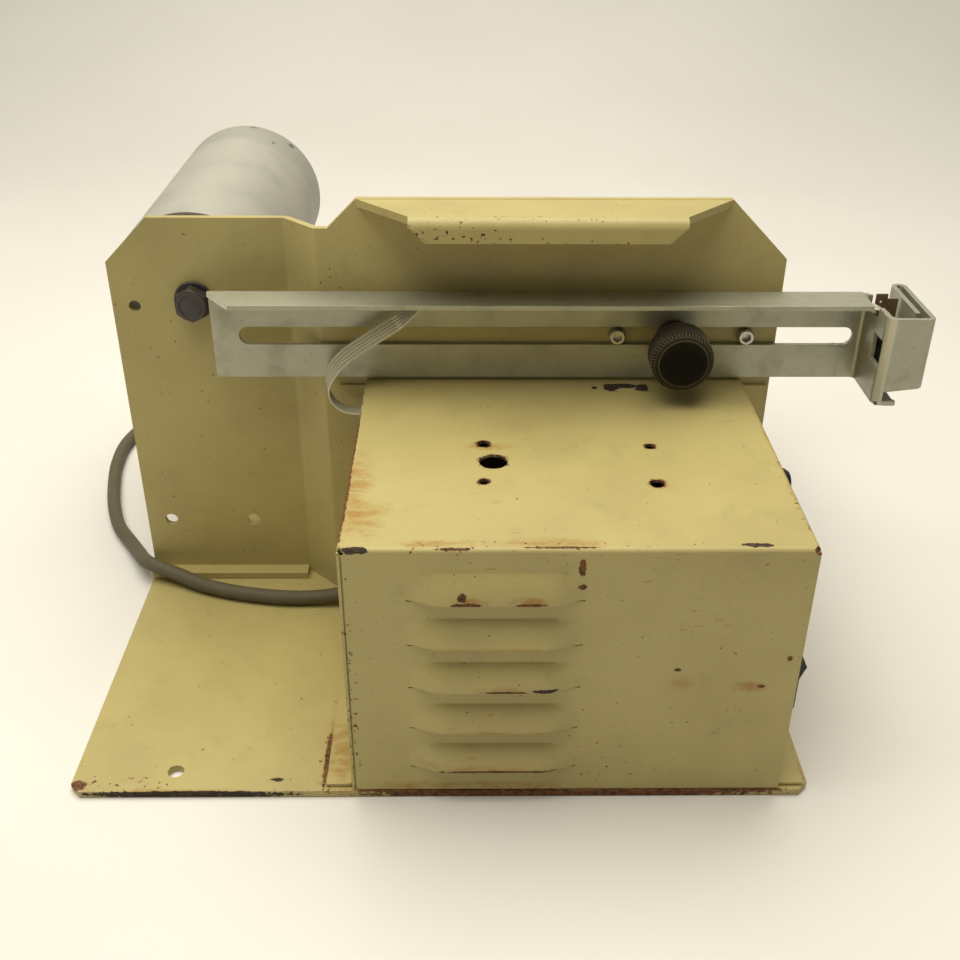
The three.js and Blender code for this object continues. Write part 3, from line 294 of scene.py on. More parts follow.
def tube(path, radius, sides):
    section = [(radius * math.cos(t), radius * math.sin(t)) for t in turns_of(sides)]
    return sweep(section, tube_stations(path))


def merge_flats(piece):
    """Joins the faces that a boolean leaves in one plane."""
    bm = bmesh.new()
    bm.from_mesh(piece.data)
    bmesh.ops.dissolve_limit(bm, angle_limit=FLAT_WITHIN, verts=bm.verts, edges=bm.edges)
    bm.to_mesh(piece.data)
    bm.free()


def eased(piece, width, segments=2):
    """The piece with its sharp edges bevelled."""
    merge_flats(piece)
    modifier = piece.modifiers.new("edges", "BEVEL")
    set_up(modifier, width=width, segments=segments, use_clamp_overlap=False)
    set_up(modifier, limit_method="ANGLE", angle_limit=BEVELLED_FROM)
    apply_modifiers(piece)
    return piece


def finish(piece, node, material, bevel=0.25, segments=2, rides=True):
    """Bevels and smooths a piece within its own box, and puts it in its CAD node's place in metres."""
    piece.name = f"{node}_visual"
    places = [vertex.co.copy() for vertex in piece.data.vertices]
    low, high = ([side(place[i] for place in places) for i in range(3)] for side in (min, max))
    if bevel:
        eased(piece, bevel, segments)
    for vertex in piece.data.vertices:
        vertex.co = [min(max(vertex.co[i], low[i]), high[i]) for i in range(3)]
    piece.data.shade_smooth()
    piece.data.set_sharp_from_angle(angle=SHARP_FROM)
    set_up(piece.modifiers.new("normals", "WEIGHTED_NORMAL"), weight=100, keep_sharp=True)
    apply_modifiers(piece)
    piece.data.transform(Matrix.Scale(MM, 4))
    piece.data.materials.clear()
    piece.data.materials.append(material)
    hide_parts(node)
    if rides:
        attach(piece, BODY_OF[node])
    return piece


def piece(node, bevel=0.25, segments=2):
    """Lets a function that draws a node's shape from its box take a material and finish the piece."""

    def drawn(draw):
        return lambda material: finish(draw(extent(node)), node, material, bevel, segments)

    return drawn


def pieces(bevel):
    """Lets a function that draws a kind of piece take the node, the material and the piece's sizes."""

    def drawn(draw):
        def made(node, material, *sizes, **more):
            return finish(draw(extent(node), *sizes, **more), node, material, bevel)

        return made

    return drawn


# ---- Base plate ----

BASE = extent("base_plate")
COVER = extent("housing_cover")
UPRIGHT = extent("upright_bracket")
WALL_LEFT, WALL_RIGHT, TOP = -33.0, 128.0, COVER.top
FRONT = COVER.near + 4.4  # the flat of the cover's front, behind the louvres' bulge
COVER_SHEET = 1.2
ARM_PANEL = COVER.far + GAP
DRUM_PANEL = UPRIGHT.far - 3.0
SHEET = 3.0
PANEL_BACK = ARM_PANEL + SHEET
COVER_SCREWS = ["cover_screw_left", "cover_screw_right"]
GUIDE_SCREWS = ["guide_screw_left", "guide_screw_right"]
DECK_SCREWS = ["deck_screw_left", "deck_screw_right"]
GEARMOTOR_SCREWS = [f"gearmotor_screw_{number}" for number in (1, 2, 3, 4)]


@piece("base_plate", bevel=0.35)
def base_plate(at):
    corner, hole, spacing_x, spacing_y = 4.0, 3.0, 203.2, 232.8
    w, d = at.right, at.far
    outline = [(-w + corner, -d), (w - corner, -d), (w, -d + corner), (w, d - corner)]
    outline += [(w - corner, d), (-w + corner, d), (-w, d - corner), (-w, -d + corner)]
    plate = prism("Z", outline, 0, at.top)
    tools = []
    for x in (-spacing_x / 2, spacing_x / 2):
        for y in (-spacing_y / 2, spacing_y / 2):
            tools.append(rod("Z", x, y, hole, -1, at.top + 1))
    countersink = [(0, -1), (5.2, -1), (2.2, 2), (2.2, 5), (0, 5)]
    for screw in COVER_SCREWS:
        tools.append(lathe("Z", extent(screw).x, extent(screw).y, countersink, 40))
    return cut(plate, *tools)


@pieces(bevel=0.1)
def countersunk_screw(at):
    x, y, head, shank = at.x, at.y, (at.right - at.left) / 2, 1.8
    profile = [(0, at.bottom), (head, at.bottom), (head, at.bottom + 0.3), (shank, 2.1)]
    profile += [(shank, at.top - 0.4), (shank - 0.4, at.top), (0, at.top)]
    screw = lathe("Z", x, y, profile, 40)
    slots = [block(x - a, x + a, y - b, y + b, -1, 1.4) for a, b in ((2.2, 0.4), (0.4, 2.2))]
    return cut(screw, *slots)


# ---- Upright bracket ----


def middle_of(node):
    """The (x, z) of a node that lies along Y."""
    at = extent(node)
    return at.x, at.z


HOOD_LEFT, HOOD_RIGHT = -33.4, 115.5


def upright_wall():
    """The panel: set back behind the drum by its joggle, and cut to its outline seen from the front."""
    joggle, drum_top, corner_left, corner_right = -64.5, 178.0, 19.0, 24.5
    left, right, bottom, top = BASE.left, BASE.right, UPRIGHT.bottom, UPRIGHT.top
    step = joggle + DRUM_PANEL - ARM_PANEL
    plan = [(left, DRUM_PANEL), (joggle, DRUM_PANEL), (step, ARM_PANEL), (right, ARM_PANEL)]
    wall = prism("Z", sheet_outline(round_corners(plan, 3.0, 8)[::-1], SHEET), bottom, top)
    front = [(left, bottom), (right, bottom), (right, top - corner_right), (right - corner_right, top)]
    front += [(HOOD_LEFT, top), (HOOD_LEFT - top + drum_top, drum_top)]
    front += [(left + corner_left, drum_top), (left, drum_top - corner_left)]
    return keep(wall, prism("Y", front, ARM_PANEL - 1, DRUM_PANEL + SHEET + 1))


def hood():
    """The top's forward fold, tapered at both ends, with its lip's lower corners cut off."""
    top, left, right, front = UPRIGHT.top, HOOD_LEFT, HOOD_RIGHT, UPRIGHT.near
    taper, lip_bottom, lip_corner, bend = 21.5, 180.8, 6.5, 4.0
    side = [(front, lip_bottom), (front, top), (PANEL_BACK, top), (PANEL_BACK, top - 12)]
    sheet = prism("X", sheet_outline(round_corners(side, bend, 8), SHEET), left, right)
    inner_left, inner_right = left + taper, right - taper
    plan, mirrored = (
        [(outer, PANEL_BACK + 1), (outer, ARM_PANEL), (inner, front + bend), (inner, front - 1)]
        for outer, inner in ((left, inner_left), (right, inner_right))
    )
    tapered = keep(sheet, prism("Z", plan + mirrored[::-1], lip_bottom - 14, top + 1))
    below, notch = lip_bottom - 1, lip_bottom + lip_corner
    corners = []
    for x, inwards in ((inner_left, 1), (inner_right, -1)):
        outline = [(x - inwards, below), (x - inwards, notch + 1), (x, notch)]
        outline.append((x + inwards * (lip_corner + 1), below))
        corners.append(prism("Y", outline, front - 1, front + SHEET + 1))
    return cut(tapered, *corners)


@piece("upright_bracket", bevel=0)
def upright_bracket(at):
    bottom, foot_top = at.bottom, at.bottom + SHEET
    drum_foot = block(BASE.left, -66.0, DRUM_PANEL - 7, DRUM_PANEL + 1, bottom, foot_top)
    arm_foot = block(WALL_LEFT + 4, BASE.right - 16, ARM_PANEL - 12, ARM_PANEL + 1, bottom, foot_top)
    bracket = join(upright_wall(), hood(), drum_foot, arm_foot)
    tapped = GUIDE_SCREWS + DECK_SCREWS + GEARMOTOR_SCREWS + ["web_guide_rod", "pressure_pivot_rod"]
    holes = [(-130.6, 139.6, 2.5), (-129.0, 32.3, 3.0), (-90.4, 32.3, 3.0)]
    holes += [(*middle_of(node), 2.4) for node in tapped]
    holes += [(*middle_of("drum_axle_nut"), 5.06), (*middle_of("clamp_knob"), 3.5)]
    holes += [(*middle_of("shaft_bushing"), 8.0), (*middle_of("spring_post"), 1.8)]
    through = (ARM_PANEL - 1, DRUM_PANEL + SHEET + 1)
    tools = [rod("Y", x, z, radius, *through, 40) for x, z, radius in holes]
    return cut(bracket, *tools)


# ---- Motor housing cover ----

LOUVRE = {"x": 20.0, "straight": 34.0, "end": 14.5, "rise": 11.2, "bulge": 4.0, "slit": 0.5}
LOUVRE_LIPS = [15.4 + 19.05 * i for i in range(5)]
BEND = 1.6  # outer radius of the cover's folds
TOP_HOLES = [  # (x, y, radius)
    (16.8, -54.1, 2.5),
    (20.2, -67.8, 5.3),
    (16.4, -82.4, 1.9),
    (80.5, -56.1, 1.9),
    (79.2, -83.9, 2.6),
]


def louvre_height(x, z):
    """How far the front stands out at (x, z): five pressed louvres, each highest along its lip."""
    height = 0.0
    for lip in LOUVRE_LIPS:
        if lip - 0.01 <= z <= lip + LOUVRE["rise"]:
            u = max(0.0, abs(x - LOUVRE["x"]) - LOUVRE["straight"] / 2) / LOUVRE["end"]
            v = (z - lip) / LOUVRE["rise"]
            if u < 1:
                height = LOUVRE["bulge"] * (1 - v * v) * (1 - u * u) ** 2
            if u == 0 and v > 0.9:
                height -= 0.3 * (1 - abs(v - 0.96) / 0.06)
    return height


def lines_between(low, high, spacing):
    count = max(1, round((high - low) / spacing))
    return [low + (high - low) * i / count for i in range(count + 1)]


def add_patch(bm, rows, skip=None):
    """Adds a grid of quads through rows of points; skip(i, j) leaves a quad out."""
    verts = [[bm.verts.new(point) for point in row] for row in rows]
    for i in range(len(verts) - 1):
        for j in range(len(verts[i]) - 1):
            if skip is None or not skip(i, j):
                bm.faces.new((verts[i][j], verts[i][j + 1], verts[i + 1][j + 1], verts[i + 1][j]))


def front_lines():
    """Grid lines of the front: fine across the louvres, wide elsewhere."""
    reach = LOUVRE["straight"] / 2 + LOUVRE["end"] + 1
    x0, x1 = LOUVRE["x"] - reach, LOUVRE["x"] + reach
    xs = lines_between(WALL_LEFT + BEND, x0, 9)[:-1] + lines_between(x0, x1, 1.0)
    xs += lines_between(x1, WALL_RIGHT - BEND, 9)[1:]
    zs = [COVER.bottom]
    for lip in LOUVRE_LIPS:
        zs += lines_between(zs[-1], lip - LOUVRE["slit"], 4)[1:]
        zs += lines_between(lip, lip + LOUVRE["rise"], 0.9)
    zs += lines_between(zs[-1], TOP - BEND, 4)[1:]
    return xs, zs


def cover_skin():
    """The cover's outer skin: top, front with louvres, two sides, and foot flanges."""
    bm = bmesh.new()
    xs, zs = front_lines()
    ys = lines_between(FRONT + BEND, COVER.far, 12)
    arc = [(BEND * math.sin(t), BEND * math.cos(t)) for t in quarter(5)]
    add_patch(bm, [[(x, y, TOP) for x in xs] for y in ys])
    add_patch(bm, [[(x, FRONT + BEND - s, TOP - BEND + c) for x in xs] for s, c in arc])

    wide = [WALL_LEFT] + xs + [WALL_RIGHT]
    lips = {round(lip, 3) for lip in LOUVRE_LIPS}
    half = LOUVRE["straight"] / 2 + LOUVRE["end"] - 0.6

    def in_slit(i, j):
        if round(zs[i + 1], 3) not in lips:
            return False
        return abs(wide[j] - LOUVRE["x"]) < half and abs(wide[j + 1] - LOUVRE["x"]) < half

    add_patch(bm, [[(x, FRONT - louvre_height(x, z), z) for x in wide] for z in zs], in_slit)

    foot_top = COVER.bottom + COVER_SHEET
    for wall, out in ((WALL_LEFT, -1), (WALL_RIGHT, 1)):
        bend_rows = [[(wall + out * (s - BEND), y, TOP - BEND + c) for y in ys] for s, c in arc]
        add_patch(bm, bend_rows)
        heights = lines_between(foot_top + BEND, TOP - BEND, 8)[::-1]
        add_patch(bm, [[(wall, y, z) for y in ys] for z in heights])
        foot_rows = [[(wall + out * (BEND - c), y, foot_top + BEND - s) for y in ys] for s, c in arc]
        foot_rows.append([(wall + out * 10, y, foot_top) for y in ys])
        add_patch(bm, foot_rows)
    bmesh.ops.remove_doubles(bm, verts=bm.verts, dist=0.01)
    return object_from(bm)


@piece("housing_cover", bevel=0.18)
def housing_cover(at):
    shell = cover_skin()
    modifier = shell.modifiers.new("sheet", "SOLIDIFY")
    set_up(modifier, thickness=COVER_SHEET, offset=-1, use_even_offset=True, use_rim=True)
    apply_modifiers(shell)
    rear = (at.far - COVER_SHEET, at.far, at.bottom, TOP - 2.5)
    width, overlap = 11, 0.5
    left_flange = block(WALL_LEFT - width, WALL_LEFT + overlap, *rear)
    join(shell, left_flange, block(WALL_RIGHT - overlap, WALL_RIGHT + width, *rear))
    tools = [rod("Z", x, y, radius, TOP - 4, TOP + 3) for x, y, radius in TOP_HOLES]
    switch, fuse, relief = (extent(n) for n in ("switch_body", "fuse_holder_body", "cord_strain_relief"))
    right_wall = (WALL_RIGHT - 2, WALL_RIGHT + 2)
    ribbon_notch = block(WALL_LEFT - 2, WALL_LEFT + 2, -10, 2.0, 95, 107)
    cord_hole = rod("X", relief.y, relief.z, 5.3, WALL_LEFT - 3, WALL_LEFT + 3)
    y, z = switch.y, switch.z
    switch_hole = block(*right_wall, y - 6.6, y + 6.6, z - 9.8, z + 9.8)
    tools += [ribbon_notch, cord_hole, switch_hole, rod("X", fuse.y, fuse.z, 6.3, *right_wall)]
    # The seam where the front closes on the folded left side, and its relief hole.
    seam = WALL_LEFT + 1.35
    tools.append(block(seam - 0.25, seam + 0.25, FRONT - 1, FRONT + 0.8, at.bottom - 1, TOP - 1.8))
    tools.append(rod("Y", WALL_LEFT + 1.5, TOP - 1.9, 0.9, FRONT - 1, FRONT + 3, 24))
    return cut(shell, *tools)


# ---- Fasteners and turned parts ----


def thread(radius, start, end, pitch, depth):
    """Profile points along a threaded length: a crest and a root for each turn."""
    count = max(1, round((end - start) / pitch))
    step = (end - start) / count
    points = []
    for i in range(count):
        points += [(radius - depth, start + i * step), (radius, start + (i + 0.5) * step)]
    return points + [(radius - depth, end)]


def hex_block(x, z, across_flats, start, end, near=True, far=True):
    """A hexagon along Y with its corners turned down at one or both ends."""
    corner = across_flats / math.sqrt(3) + 0.05
    face = across_flats * 0.485
    drop = (corner - face) * 0.6
    profile = [(0, start)]
    profile += [(face, start), (corner, start + drop)] if near else [(corner, start)]
    profile += [(corner, end - drop), (face, end)] if far else [(corner, end)]
    profile.append((0, end))
    return keep(prism("Y", hexagon(x, z, across_flats), start, end), lathe("Y", x, z, profile, 74))


def turned(at, profile, sides=64):
    """A piece turned about the middle line of its box along Y."""
    return lathe("Y", at.x, at.z, profile, sides)


@pieces(bevel=0.12)
def ring(at, outer, inner, chamfer=0.3, sides=64):
    return turned(at, chamfered_ring(outer, inner, at.near, at.far, chamfer), sides)


@pieces(bevel=0.12)
def hex_nut(at, across_flats, bore):
    nut = hex_block(at.x, at.z, across_flats, at.near, at.far)
    return cut(nut, turned(at, hole_profile(bore, at.near, at.far), 48))


def hole_profile(radius, start, end):
    """A drill with a small countersink at both faces and thread marks between them."""
    sink = radius + 0.4
    profile = [(0, start - 1), (sink, start - 1), (sink, start), (radius, start + 0.5)]
    profile += thread(radius + 0.15, start + 0.6, end - 0.6, 0.8, 0.15)
    return profile + [(radius, end - 0.5), (sink, end), (sink, end + 1), (0, end + 1)]


@pieces(bevel=0.12)
def socket_screw(at, head, under, tip, across_flats, away=-1):
    """A socket-head screw along Y; away is the side its head points to."""
    top = at.near if away < 0 else at.far
    shank, depth = 1.95, 2.2
    tip_at = tip - away * -0.4
    profile = [(0, top), (head - 0.5, top), (head, top - away * 0.5), (head, under + away * 0.2)]
    profile += [(head - 0.2, under), (shank, under)]
    low, high = sorted((under - away * 0.3, tip_at))
    rows = thread(shank, low, high, 0.7, 0.22)
    profile += rows if away < 0 else rows[::-1]
    profile += [(shank - 0.5, tip), (0, tip)]
    low, high = sorted((top + away, top - away * depth))
    drill = prism("Y", hexagon(at.x, at.z, across_flats), low, high)
    return cut(turned(at, profile, 48), drill)


# ---- Label drum ----

DRUM = {"radius": 36.4, "wall": 3.0}
AXLE = 4.76


@piece("drum_tube", bevel=0)
def drum_tube(at):
    outer, inner = DRUM["radius"], DRUM["radius"] - DRUM["wall"]
    rim = [(outer - 0.6, 0), (outer - 0.15, 0.15), (outer, 0.6), (outer, 18)]
    profile = [(radius, at.near + inset) for radius, inset in rim]
    profile += [(radius, at.far - inset) for radius, inset in rim[::-1]]
    profile += [(inner + 0.8, at.far), (inner, at.far - 0.8), (inner, at.near + 0.8), (inner + 0.8, at.near)]
    return turned(at, profile, 144)


@pieces(bevel=0.2)
def drum_hub(at):
    outer, inner, boss, web = DRUM["radius"] - DRUM["wall"] - GAP, AXLE + GAP, 9.0, 3.0
    profile = [(inner, at.near + 0.4), (inner + 0.4, at.near), (outer - 0.5, at.near), (outer, at.near + 0.5)]
    profile += [(outer, at.far - 0.5), (outer - 0.5, at.far), (outer - 4, at.far)]
    profile += [(outer - 4.2, at.near + web), (boss + 0.3, at.near + web), (boss, at.far)]
    profile += [(inner + 0.4, at.far), (inner, at.far - 0.4)]
    ribs = []
    for turn in turns_of(6):
        away, side = Vector((math.cos(turn), math.sin(turn))), Vector((-math.sin(turn), math.cos(turn)))
        ends = [away * (boss - 1), away * (outer - 3)]
        outline = [ends[0] - side, ends[1] - side, ends[1] + side, ends[0] + side]
        ribs.append(prism("Y", [(at.x + p.x, at.z + p.y) for p in outline], at.near + 1, at.far - 2))
    return join(turned(at, profile, 96), *ribs)


@piece("drum_axle_bolt", bevel=0.25)
def drum_axle_bolt(at):
    x, z = middle_of("drum_axle_nut")
    head_end = at.near + 6.0
    head = hex_block(x, z, 13.0, at.near, head_end, far=False)
    dish, outside = at.near + 0.35, at.near - 1
    face = lathe("Y", x, z, [(0, dish), (4.6, dish), (5.4, outside), (0, outside)])
    profile = [(0, head_end - 0.5), (AXLE, head_end - 0.5), (AXLE, at.far - 14)]
    profile += thread(AXLE, at.far - 13.5, at.far - 1, 1.5, 0.45)
    profile += [(AXLE - 0.8, at.far), (0, at.far)]
    shank = lathe("Y", x, z, profile, 64)
    return join(cut(head, face), shank)


# ---- Sensor arm ----

ARM_SHEET = 2.0
ARM_BACK = ARM_PANEL - GAP
ARM_TOP, ARM_BOTTOM, HEAD_LEFT = 152.6, 114.0, 175.0
SLOT = {"left": -84.3, "right": 171.5, "z": 132.9, "height": 7.8}


def arm_slot():
    half = SLOT["height"] / 2
    bottom, top = SLOT["z"] - half, SLOT["z"] + half
    outline = rectangle(SLOT["left"], SLOT["right"], bottom, top, half - 0.05, 12)
    return prism("Y", outline, ARM_BACK - ARM_SHEET - 1, ARM_BACK + 1)


def burr():
    """A rolled-up burr on the slot's lower edge, near its right end."""
    draw = random.Random(4)
    edge = SLOT["z"] - SLOT["height"] / 2
    outline = [(161.8, edge - 0.8)]
    for i in range(12):
        rise = 0.22 + 0.1 * math.sin(i * 0.9) + draw.uniform(-0.08, 0.08)
        outline.append((162.2 + i * 0.56, edge + rise))
    outline += [(168.9, edge + 0.1), (169.4, edge - 0.8)]
    return prism("Y", outline, ARM_BACK - ARM_SHEET - 0.15, ARM_BACK - 0.6)


@piece("sensor_arm", bevel=0.22)
def sensor_arm(at):
    """The slotted bar with its top flange, the folded head at its right end and the head's tab."""
    flange_front, flange_right, bend = -14.5, 172.5, 2.6
    angle = [(flange_front, ARM_TOP), (ARM_BACK, ARM_TOP), (ARM_BACK, ARM_BOTTOM)]
    bar = prism("X", sheet_outline(round_corners(angle, bend, 8), ARM_SHEET), at.left, flange_right)
    left = at.left - 1
    mitre = [(left, ARM_BACK - ARM_SHEET - 0.6), (left, flange_front - 1), (left + 12.5, flange_front - 1)]
    bar = cut(bar, prism("Z", mitre, ARM_TOP - 5, ARM_TOP + 1))

    inner = HEAD_LEFT + ARM_SHEET
    leaf_x, leaf_y = at.right - ARM_SHEET - 2.4, at.far - ARM_SHEET + 1.2
    near = at.near + ARM_SHEET
    plan = [(flange_right - 6, ARM_BACK), (inner, ARM_BACK), (inner, near), (at.right - ARM_SHEET, near)]
    plan += [(at.right - ARM_SHEET, leaf_y), (leaf_x, leaf_y), (leaf_x, at.near + 7)]
    folds = round_corners(plan, [3.9, 3, 0.8, 1.19, 1.19], 8)
    head_top, head_bottom, tab_right = 151.5, 120.0, HEAD_LEFT + 8.4
    head = prism("Z", sheet_outline(folds, ARM_SHEET), ARM_BOTTOM, head_top)
    tab_bottom = ARM_BOTTOM - 0.2
    tab = block(HEAD_LEFT + 1, tab_right, at.near + 1, ARM_BACK - 9, tab_bottom, tab_bottom + ARM_SHEET)
    underside = [(inner + 1.5, ARM_BOTTOM + ARM_SHEET), (tab_right + 0.6, ARM_BOTTOM + ARM_SHEET)]
    underside += [(tab_right + 0.6, ARM_BOTTOM - 1), (at.right + 1, ARM_BOTTOM - 1)]
    underside += [(at.right + 1, head_bottom + 2), (inner + 1.5, head_bottom)]
    tools = [
        prism("Y", underside, at.near - 1, at.far + 1),
        block(HEAD_LEFT - 2, inner + 2, -22, -12, 129.5, 141),
        block(HEAD_LEFT - 2, inner + 2, -13, 0.8, head_top - 5, head_top + 1),
        arm_slot(),
    ]
    return join(cut(join(bar, head, tab), *tools), burr())


@piece("sensor_board", bevel=0.12)
def sensor_board(at):
    tongue_right, shoulder = at.left + 4.8, ARM_TOP - 2.2
    outline = [(at.left, at.bottom), (at.right, at.bottom), (at.right, shoulder), (tongue_right, shoulder)]
    outline += [(tongue_right, at.top), (at.left, at.top)]
    board = prism("Y", outline, at.near + 0.3, at.far - 0.4)
    vias = [rod("Y", at.left + 2.2, z, 0.45, at.near - 1, at.far + 1, 16) for z in (146.6, 149.0)]
    pads = [rod("Y", x, z, 0.75, at.far - 0.7, at.far, 16) for x in (179.4, 183.2) for z in (142.6, 145.4)]
    return join(cut(board, *vias), *pads)


@piece("sensor_body", bevel=0.3)
def sensor_body(at):
    outline = rectangle(at.left, at.right, at.bottom, at.top, 1.0)
    body = prism("Y", outline, at.near, at.far)
    groove = block(at.left - 1, at.left + 0.4, at.near - 1, at.far - 2.5, at.top - 5.2, at.top - 4.6)
    seam = block(at.left - 1, at.right + 1, at.near - 1, at.near + 0.35, at.top - 9.4, at.top - 9.0)
    return cut(body, groove, seam)


@piece("sensor_can", bevel=0.12)
def sensor_can(at):
    profile = [(0, at.left), (3.4, at.left), (3.6, at.left + 0.2), (3.6, at.left + 0.8), (3.4, at.left + 1)]
    profile += [(2.9, at.left + 1.1), (2.9, at.right - 0.7), (2.7, at.right - 0.2), (2.3, at.right)]
    profile += [(1.9, at.right), (1.8, at.right - 0.5), (0, at.right - 0.35)]
    return lathe("X", at.y, at.z, profile, 48)


@piece("sensor_window", bevel=0.35, segments=3)
def sensor_window(at):
    return prism("Z", rectangle(at.left, at.right, at.near, at.far, 0.9), at.bottom, at.top)


# ---- Clamping knob ----

KNOB = {"radius": 12.7, "hub": 7.4, "stud": 3.2, "socket": 8.0}


def knurl_depth(turn, along, pitch, teeth):
    """How deep a diamond knurl cuts at one point: two crossing sets of grooves."""
    u, v = turn * teeth / (2 * math.pi), along / pitch
    first, second = abs((u + v) % 1 - 0.5) * 2, abs((u - v) % 1 - 0.5) * 2
    return max(first, second) ** 2


@piece("clamp_knob", bevel=0)
def clamp_knob(at):
    """The knurled knob: a flat face, a diamond-cut band, and a hub that turns against the arm."""
    x, z = at.x, SLOT["z"]
    teeth, pitch, depth, sides = 56, 1.4, 0.85, 224
    face, band_start, band_end = at.near, at.near + 1.9, at.near + 13.0
    smooth = [(0, 0), (5, 0), (9.3, 0), (9.9, 0), (10.2, 0.12), (10.35, 0.5), (10.6, 0.55)]
    rows = [(radius, face + along, 0.0) for radius, along in smooth]
    rows += [(11.55, face + 0.95, 0.5), (12.2, face + 1.5, 0.9)]
    for along in lines_between(band_start, band_end, pitch / 4):
        rows.append((KNOB["radius"], along, 1.0))
    hub, bore, socket = KNOB["hub"], KNOB["stud"] + GAP, face + KNOB["socket"]
    rows += [(12.1, face + 13.4, 0.5), (11.4, face + 13.8, 0.0), (hub + 0.7, face + 14.2, 0.0)]
    rows += [(hub, face + 14.8, 0.0), (hub, at.far - 0.3, 0.0), (hub - 0.3, at.far, 0.0)]
    rows += [(bore, at.far, 0.0), (bore, socket, 0.0), (0, socket, 0.0)]
    rings = []
    for radius, along, cut_share in rows:
        points = [(x, along, z)]
        if radius:
            points = []
            for turn in turns_of(sides):
                r = radius - depth * cut_share * knurl_depth(turn, along, pitch, teeth)
                points.append((x + r * math.cos(turn), along, z + r * math.sin(turn)))
        rings.append(points)
    return solid(rings, capped=False)


@piece("clamp_stud", bevel=0)
def clamp_stud(at):
    radius = KNOB["stud"]
    profile = [(0, at.near), (radius - 0.4, at.near), (radius, at.near + 0.4), (radius, -1.0)]
    profile += thread(radius, -0.6, at.far - 0.8, 1.0, 0.35) + [(radius - 0.8, at.far), (0, at.far)]
    return turned(at, profile, 48)


# ---- Ribbon cable ----

RIBBON = {"width": 6.4, "thickness": 0.9, "cores": 5}


def ribbon_section(per_core=6):
    """Five round cores side by side, joined by thin webs."""
    width, half = RIBBON["width"], RIBBON["thickness"] / 2
    pitch = width / RIBBON["cores"]
    upper = []
    for i in range(RIBBON["cores"] * per_core + 1):
        across = i / per_core
        waist = abs(math.sin(math.pi * across)) ** 0.6
        upper.append((-width / 2 + across * pitch, half * (0.25 + 0.75 * waist)))
    return upper + [(a, -b) for a, b in upper[::-1]]


@piece("ribbon_on_arm", bevel=0)
def ribbon_on_arm(at):
    under = ARM_TOP - ARM_SHEET - 0.4 - RIBBON["thickness"] / 2
    drop = HEAD_LEFT + ARM_SHEET + 6 - RIBBON["thickness"] / 2
    corners = [(-8, under), (HEAD_LEFT + 0.6, under), (drop, 145.7), (drop, at.bottom)]
    path = round_corners(corners, 2.6, 10)
    stations = []
    for i, (x, z) in enumerate(path):
        (x0, z0), (x1, z1) = path[max(i - 1, 0)], path[min(i + 1, len(path) - 1)]
        along = Vector((x1 - x0, 0, z1 - z0)).normalized()
        across = Vector((0, 1, 0))
        stations.append((Vector((x, at.y, z)), across, along.cross(across)))
    return sweep(ribbon_section(), stations)


def ribbon_loop(material):
    """The free loop: each row is a point on its middle line and the direction across it there."""
    rows = [
        [(-8.6, -7.8, 149.75), (0, 1, 0)], [(-12.5, -8.4, 147.2), (-0.25, 0.9, 0.35)],
        [(-19.5, -8.8, 142.2), (-0.45, 0.45, 0.77)], [(-30, -8.6, 135), (-0.5, 0.3, 0.81)],
        [(-39, -8.4, 128.4), (-0.5, 0.4, 0.77)], [(-45, -8.4, 121.8), (-0.45, 0.65, 0.6)],
        [(-47.6, -8.2, 114.6), (-0.25, 0.9, 0.3)], [(-46, -7.6, 107.6), (0, 1, 0)],
        [(-41.5, -6.8, 103.2), (0.1, 1, -0.05)], [(-36, -5.8, 101.6), (0, 1, 0)],
        [(-29, -5.2, 101.4), (0, 1, 0)], [(-24, -5.2, 101.2), (0, 1, 0)],
    ]
    path = smooth_path([point for point, _ in rows], 10)
    sides = smooth_path([side for _, side in rows], 10)
    stations = []
    for i, (point, side) in enumerate(zip(path, sides)):
        along = (path[min(i + 1, len(path) - 1)] - path[max(i - 1, 0)]).normalized()
        across = (side - along * side.dot(along)).normalized()
        stations.append((point, across, along.cross(across)))
    piece = sweep(ribbon_section(), stations)
    finish(piece, "ribbon_loop", material, bevel=0, rides=False)
    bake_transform(piece)


# ---- Drive ----

DRIVE_SHAFT, DRIVE_RADIUS, RUBBER = 4.0, 12.7, 3.0


@piece("gearbox_case", bevel=0.6, segments=3)
def gearbox_case(at):
    x, z = middle_of("drive_shaft")
    outline = rectangle(at.left, at.right, at.bottom, at.top, 6, 8)
    case = prism("Y", outline, at.near, at.far)
    around = rectangle(at.left - 1, at.right + 1, at.bottom - 1, at.top + 1)
    within = rectangle(at.left + 0.5, at.right - 0.5, at.bottom + 0.5, at.top - 0.5, 5.6)
    seam = cut(prism("Y", around, at.near + 9, at.near + 9.6), prism("Y", within, at.near, at.far))
    tools = [seam, rod("Y", x, z, DRIVE_SHAFT + GAP, at.far - 12.9, at.far + 1)]
    for screw in GEARMOTOR_SCREWS:
        tools.append(rod("Y", *middle_of(screw), 2.4, at.far - 10, at.far + 1, 32))
    for side in (-1, 1):
        for end in (-1, 1):
            tools.append(rod("Y", x + side * 24, z + end * 28, 2.6, at.near - 1, at.near + 2.5, 32))
    return cut(case, *tools)


